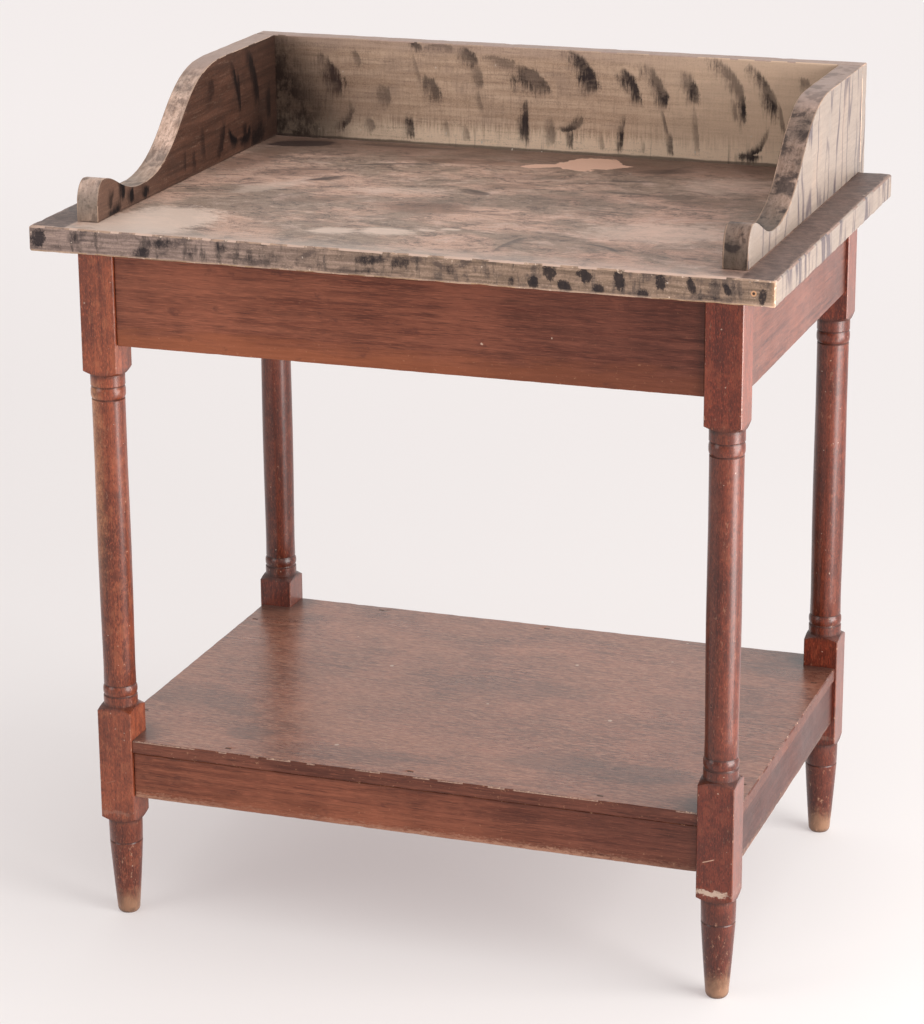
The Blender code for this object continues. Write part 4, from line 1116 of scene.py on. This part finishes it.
# Three-cornered glue blocks of sawn pine, rubbed into the angle between the
# aprons and the top with hot glue. Each is plain inside, browned with age.
PINE = bare_board("bare_pine", 0, 43.0)
PINE_SHORT = bare_board("bare_pine_short", 1, 47.0)


def plain_dressing(node, material):
    """Give a CAD node that keeps its own shape a new finish."""
    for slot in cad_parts[node].material_slots:
        slot.material = material


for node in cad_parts:
    if node.startswith("Glue_block"):
        low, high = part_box(node)
        plain_dressing(node, PINE if high[0] - low[0] > high[1] - low[1] else PINE_SHORT)


# Cut nails with flat T heads, in iron that has rusted brown. Only the heads
# show: behind the gallery back, and on the shelf over its rails.
def rusty_iron():
    """Old iron: dark scale with brown rust in patches."""
    material, place = start_material("rusty_iron")
    scale = cloud(place, 900, 4, 0.65)
    colour = mix(fade(scale, 0.42, 0.6), (0.04, 0.026, 0.021), (0.13, 0.062, 0.038))
    return finish_off(material, colour, scaled(scale, 0.35, 0.4), scale, 0.0002, 0.5, {"Metallic": 0.3})


IRON = rusty_iron()
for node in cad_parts:
    if "_nail_" in node:
        plain_dressing(node, IRON)


# Studio: a pale floor that runs back out of sight, a large soft light close by on
# the right with a small one low beside it, a weak one on the left, a dim ceiling,
# and the camera in front, above the top and to the right, with a long lens.
EYE = Vector((1.0936, -3.1587, 1.4902))
TURN = math.radians(19.394)
LOOK_DOWN = math.radians(17.789)
TILT = math.radians(-0.391)
LENS_MM = 115.77
SENSOR_MM = 36.0


def floor_finish():
    """Smooth pale paper with the faintest unevenness, painted paler towards the back as painted light."""
    material, place = start_material("studio_floor")
    soft = cloud(place, (1.3, 1.3, 1), 3, 0.5)
    y = axes(place)[1]
    colour = mix(soft, (0.41, 0.412, 0.408), (0.43, 0.432, 0.428))
    # Painted light: the floor paler towards the back.
    colour = mix(fade(y, 0.6, 4.0), colour, (0.535, 0.535, 0.532))
    grit = cloud(place, (400, 400, 1), 2, 0.5)
    glow = {"Emission Color": (1.0, 0.88, 0.87, 1.0), "Emission Strength": 0.39}
    return finish_off(material, colour, scaled(soft, 0.1, 0.75), grit, 0.00005, 0.2, glow)


floor_shape = bmesh.new()
bmesh.ops.create_grid(floor_shape, x_segments=8, y_segments=8, size=20.0)
floor_mesh = bpy.data.meshes.new("studio_floor")
floor_shape.to_mesh(floor_mesh)
floor_shape.free()
floor_mesh.materials.append(floor_finish())
placed("studio_floor", floor_mesh)


def soft_light(name, place, aim, width, height, power, colour):
    """A softbox that faces a point."""
    data = bpy.data.lights.new(name, "AREA")
    data.shape = "RECTANGLE"
    data.size = width
    data.size_y = height
    data.energy = power
    data.color = colour
    lamp = placed(name, data)
    lamp.location = place
    lamp.rotation_euler = (Vector(aim) - Vector(place)).to_track_quat("-Z", "Y").to_euler()
    lamp.visible_camera = False


soft_light("key_light", (2.3, -0.45, 0.86), (0.0, 0.0, 0.55), 1.8, 1.68, 94.0, (1.0, 0.97, 0.95))
soft_light("low_light", (1.55, -0.45, 0.2), (1.2, -0.45, 1.2), 0.55, 1.1, 13.0, (1.0, 0.93, 0.9))
soft_light("fill_light", (-1.6, -1.7, 1.0), (-0.2, 0.0, 0.35), 1.1, 1.1, 12.0, (1.0, 0.98, 0.96))
ceiling_data = bpy.data.lights.new("ceiling_light", "SUN")
ceiling_data.energy = 0.38
ceiling_data.angle = math.radians(75)
ceiling_data.color = (1.0, 0.985, 0.97)
ceiling = placed("ceiling_light", ceiling_data)
ceiling.rotation_euler = Vector((0.35, -0.15, 1.0)).to_track_quat("Z", "Y").to_euler()

world = bpy.data.worlds.new("studio_air")
world.use_nodes = True
air = world.node_tree
towards = air.nodes.new("ShaderNodeTexCoord").outputs["Generated"]
lit_side = places("DOT_PRODUCT", towards, (0.8, 0.4, 0.45))["Value"]
brightness = scaled(fade(lit_side, -0.75, 0.55), 0.62, 0.36)
air.nodes["Background"].inputs["Color"].default_value = (0.97, 0.96, 0.95, 1.0)
feed(air.nodes["Background"].inputs["Strength"], brightness)
bpy.context.scene.world = world
bpy.context.scene.view_settings.view_transform = "Standard"

camera_data = bpy.data.cameras.new("camera")
camera_data.lens = LENS_MM
camera_data.sensor_width = SENSOR_MM
camera_data.sensor_fit = "AUTO"
camera = placed("camera", camera_data)
stand = Matrix.Translation(EYE) @ Matrix.Rotation(TURN, 4, "Z")
camera.matrix_world = stand @ Matrix.Rotation(math.pi / 2 - LOOK_DOWN, 4, "X") @ Matrix.Rotation(TILT, 4, "Z")
bpy.context.scene.camera = camera
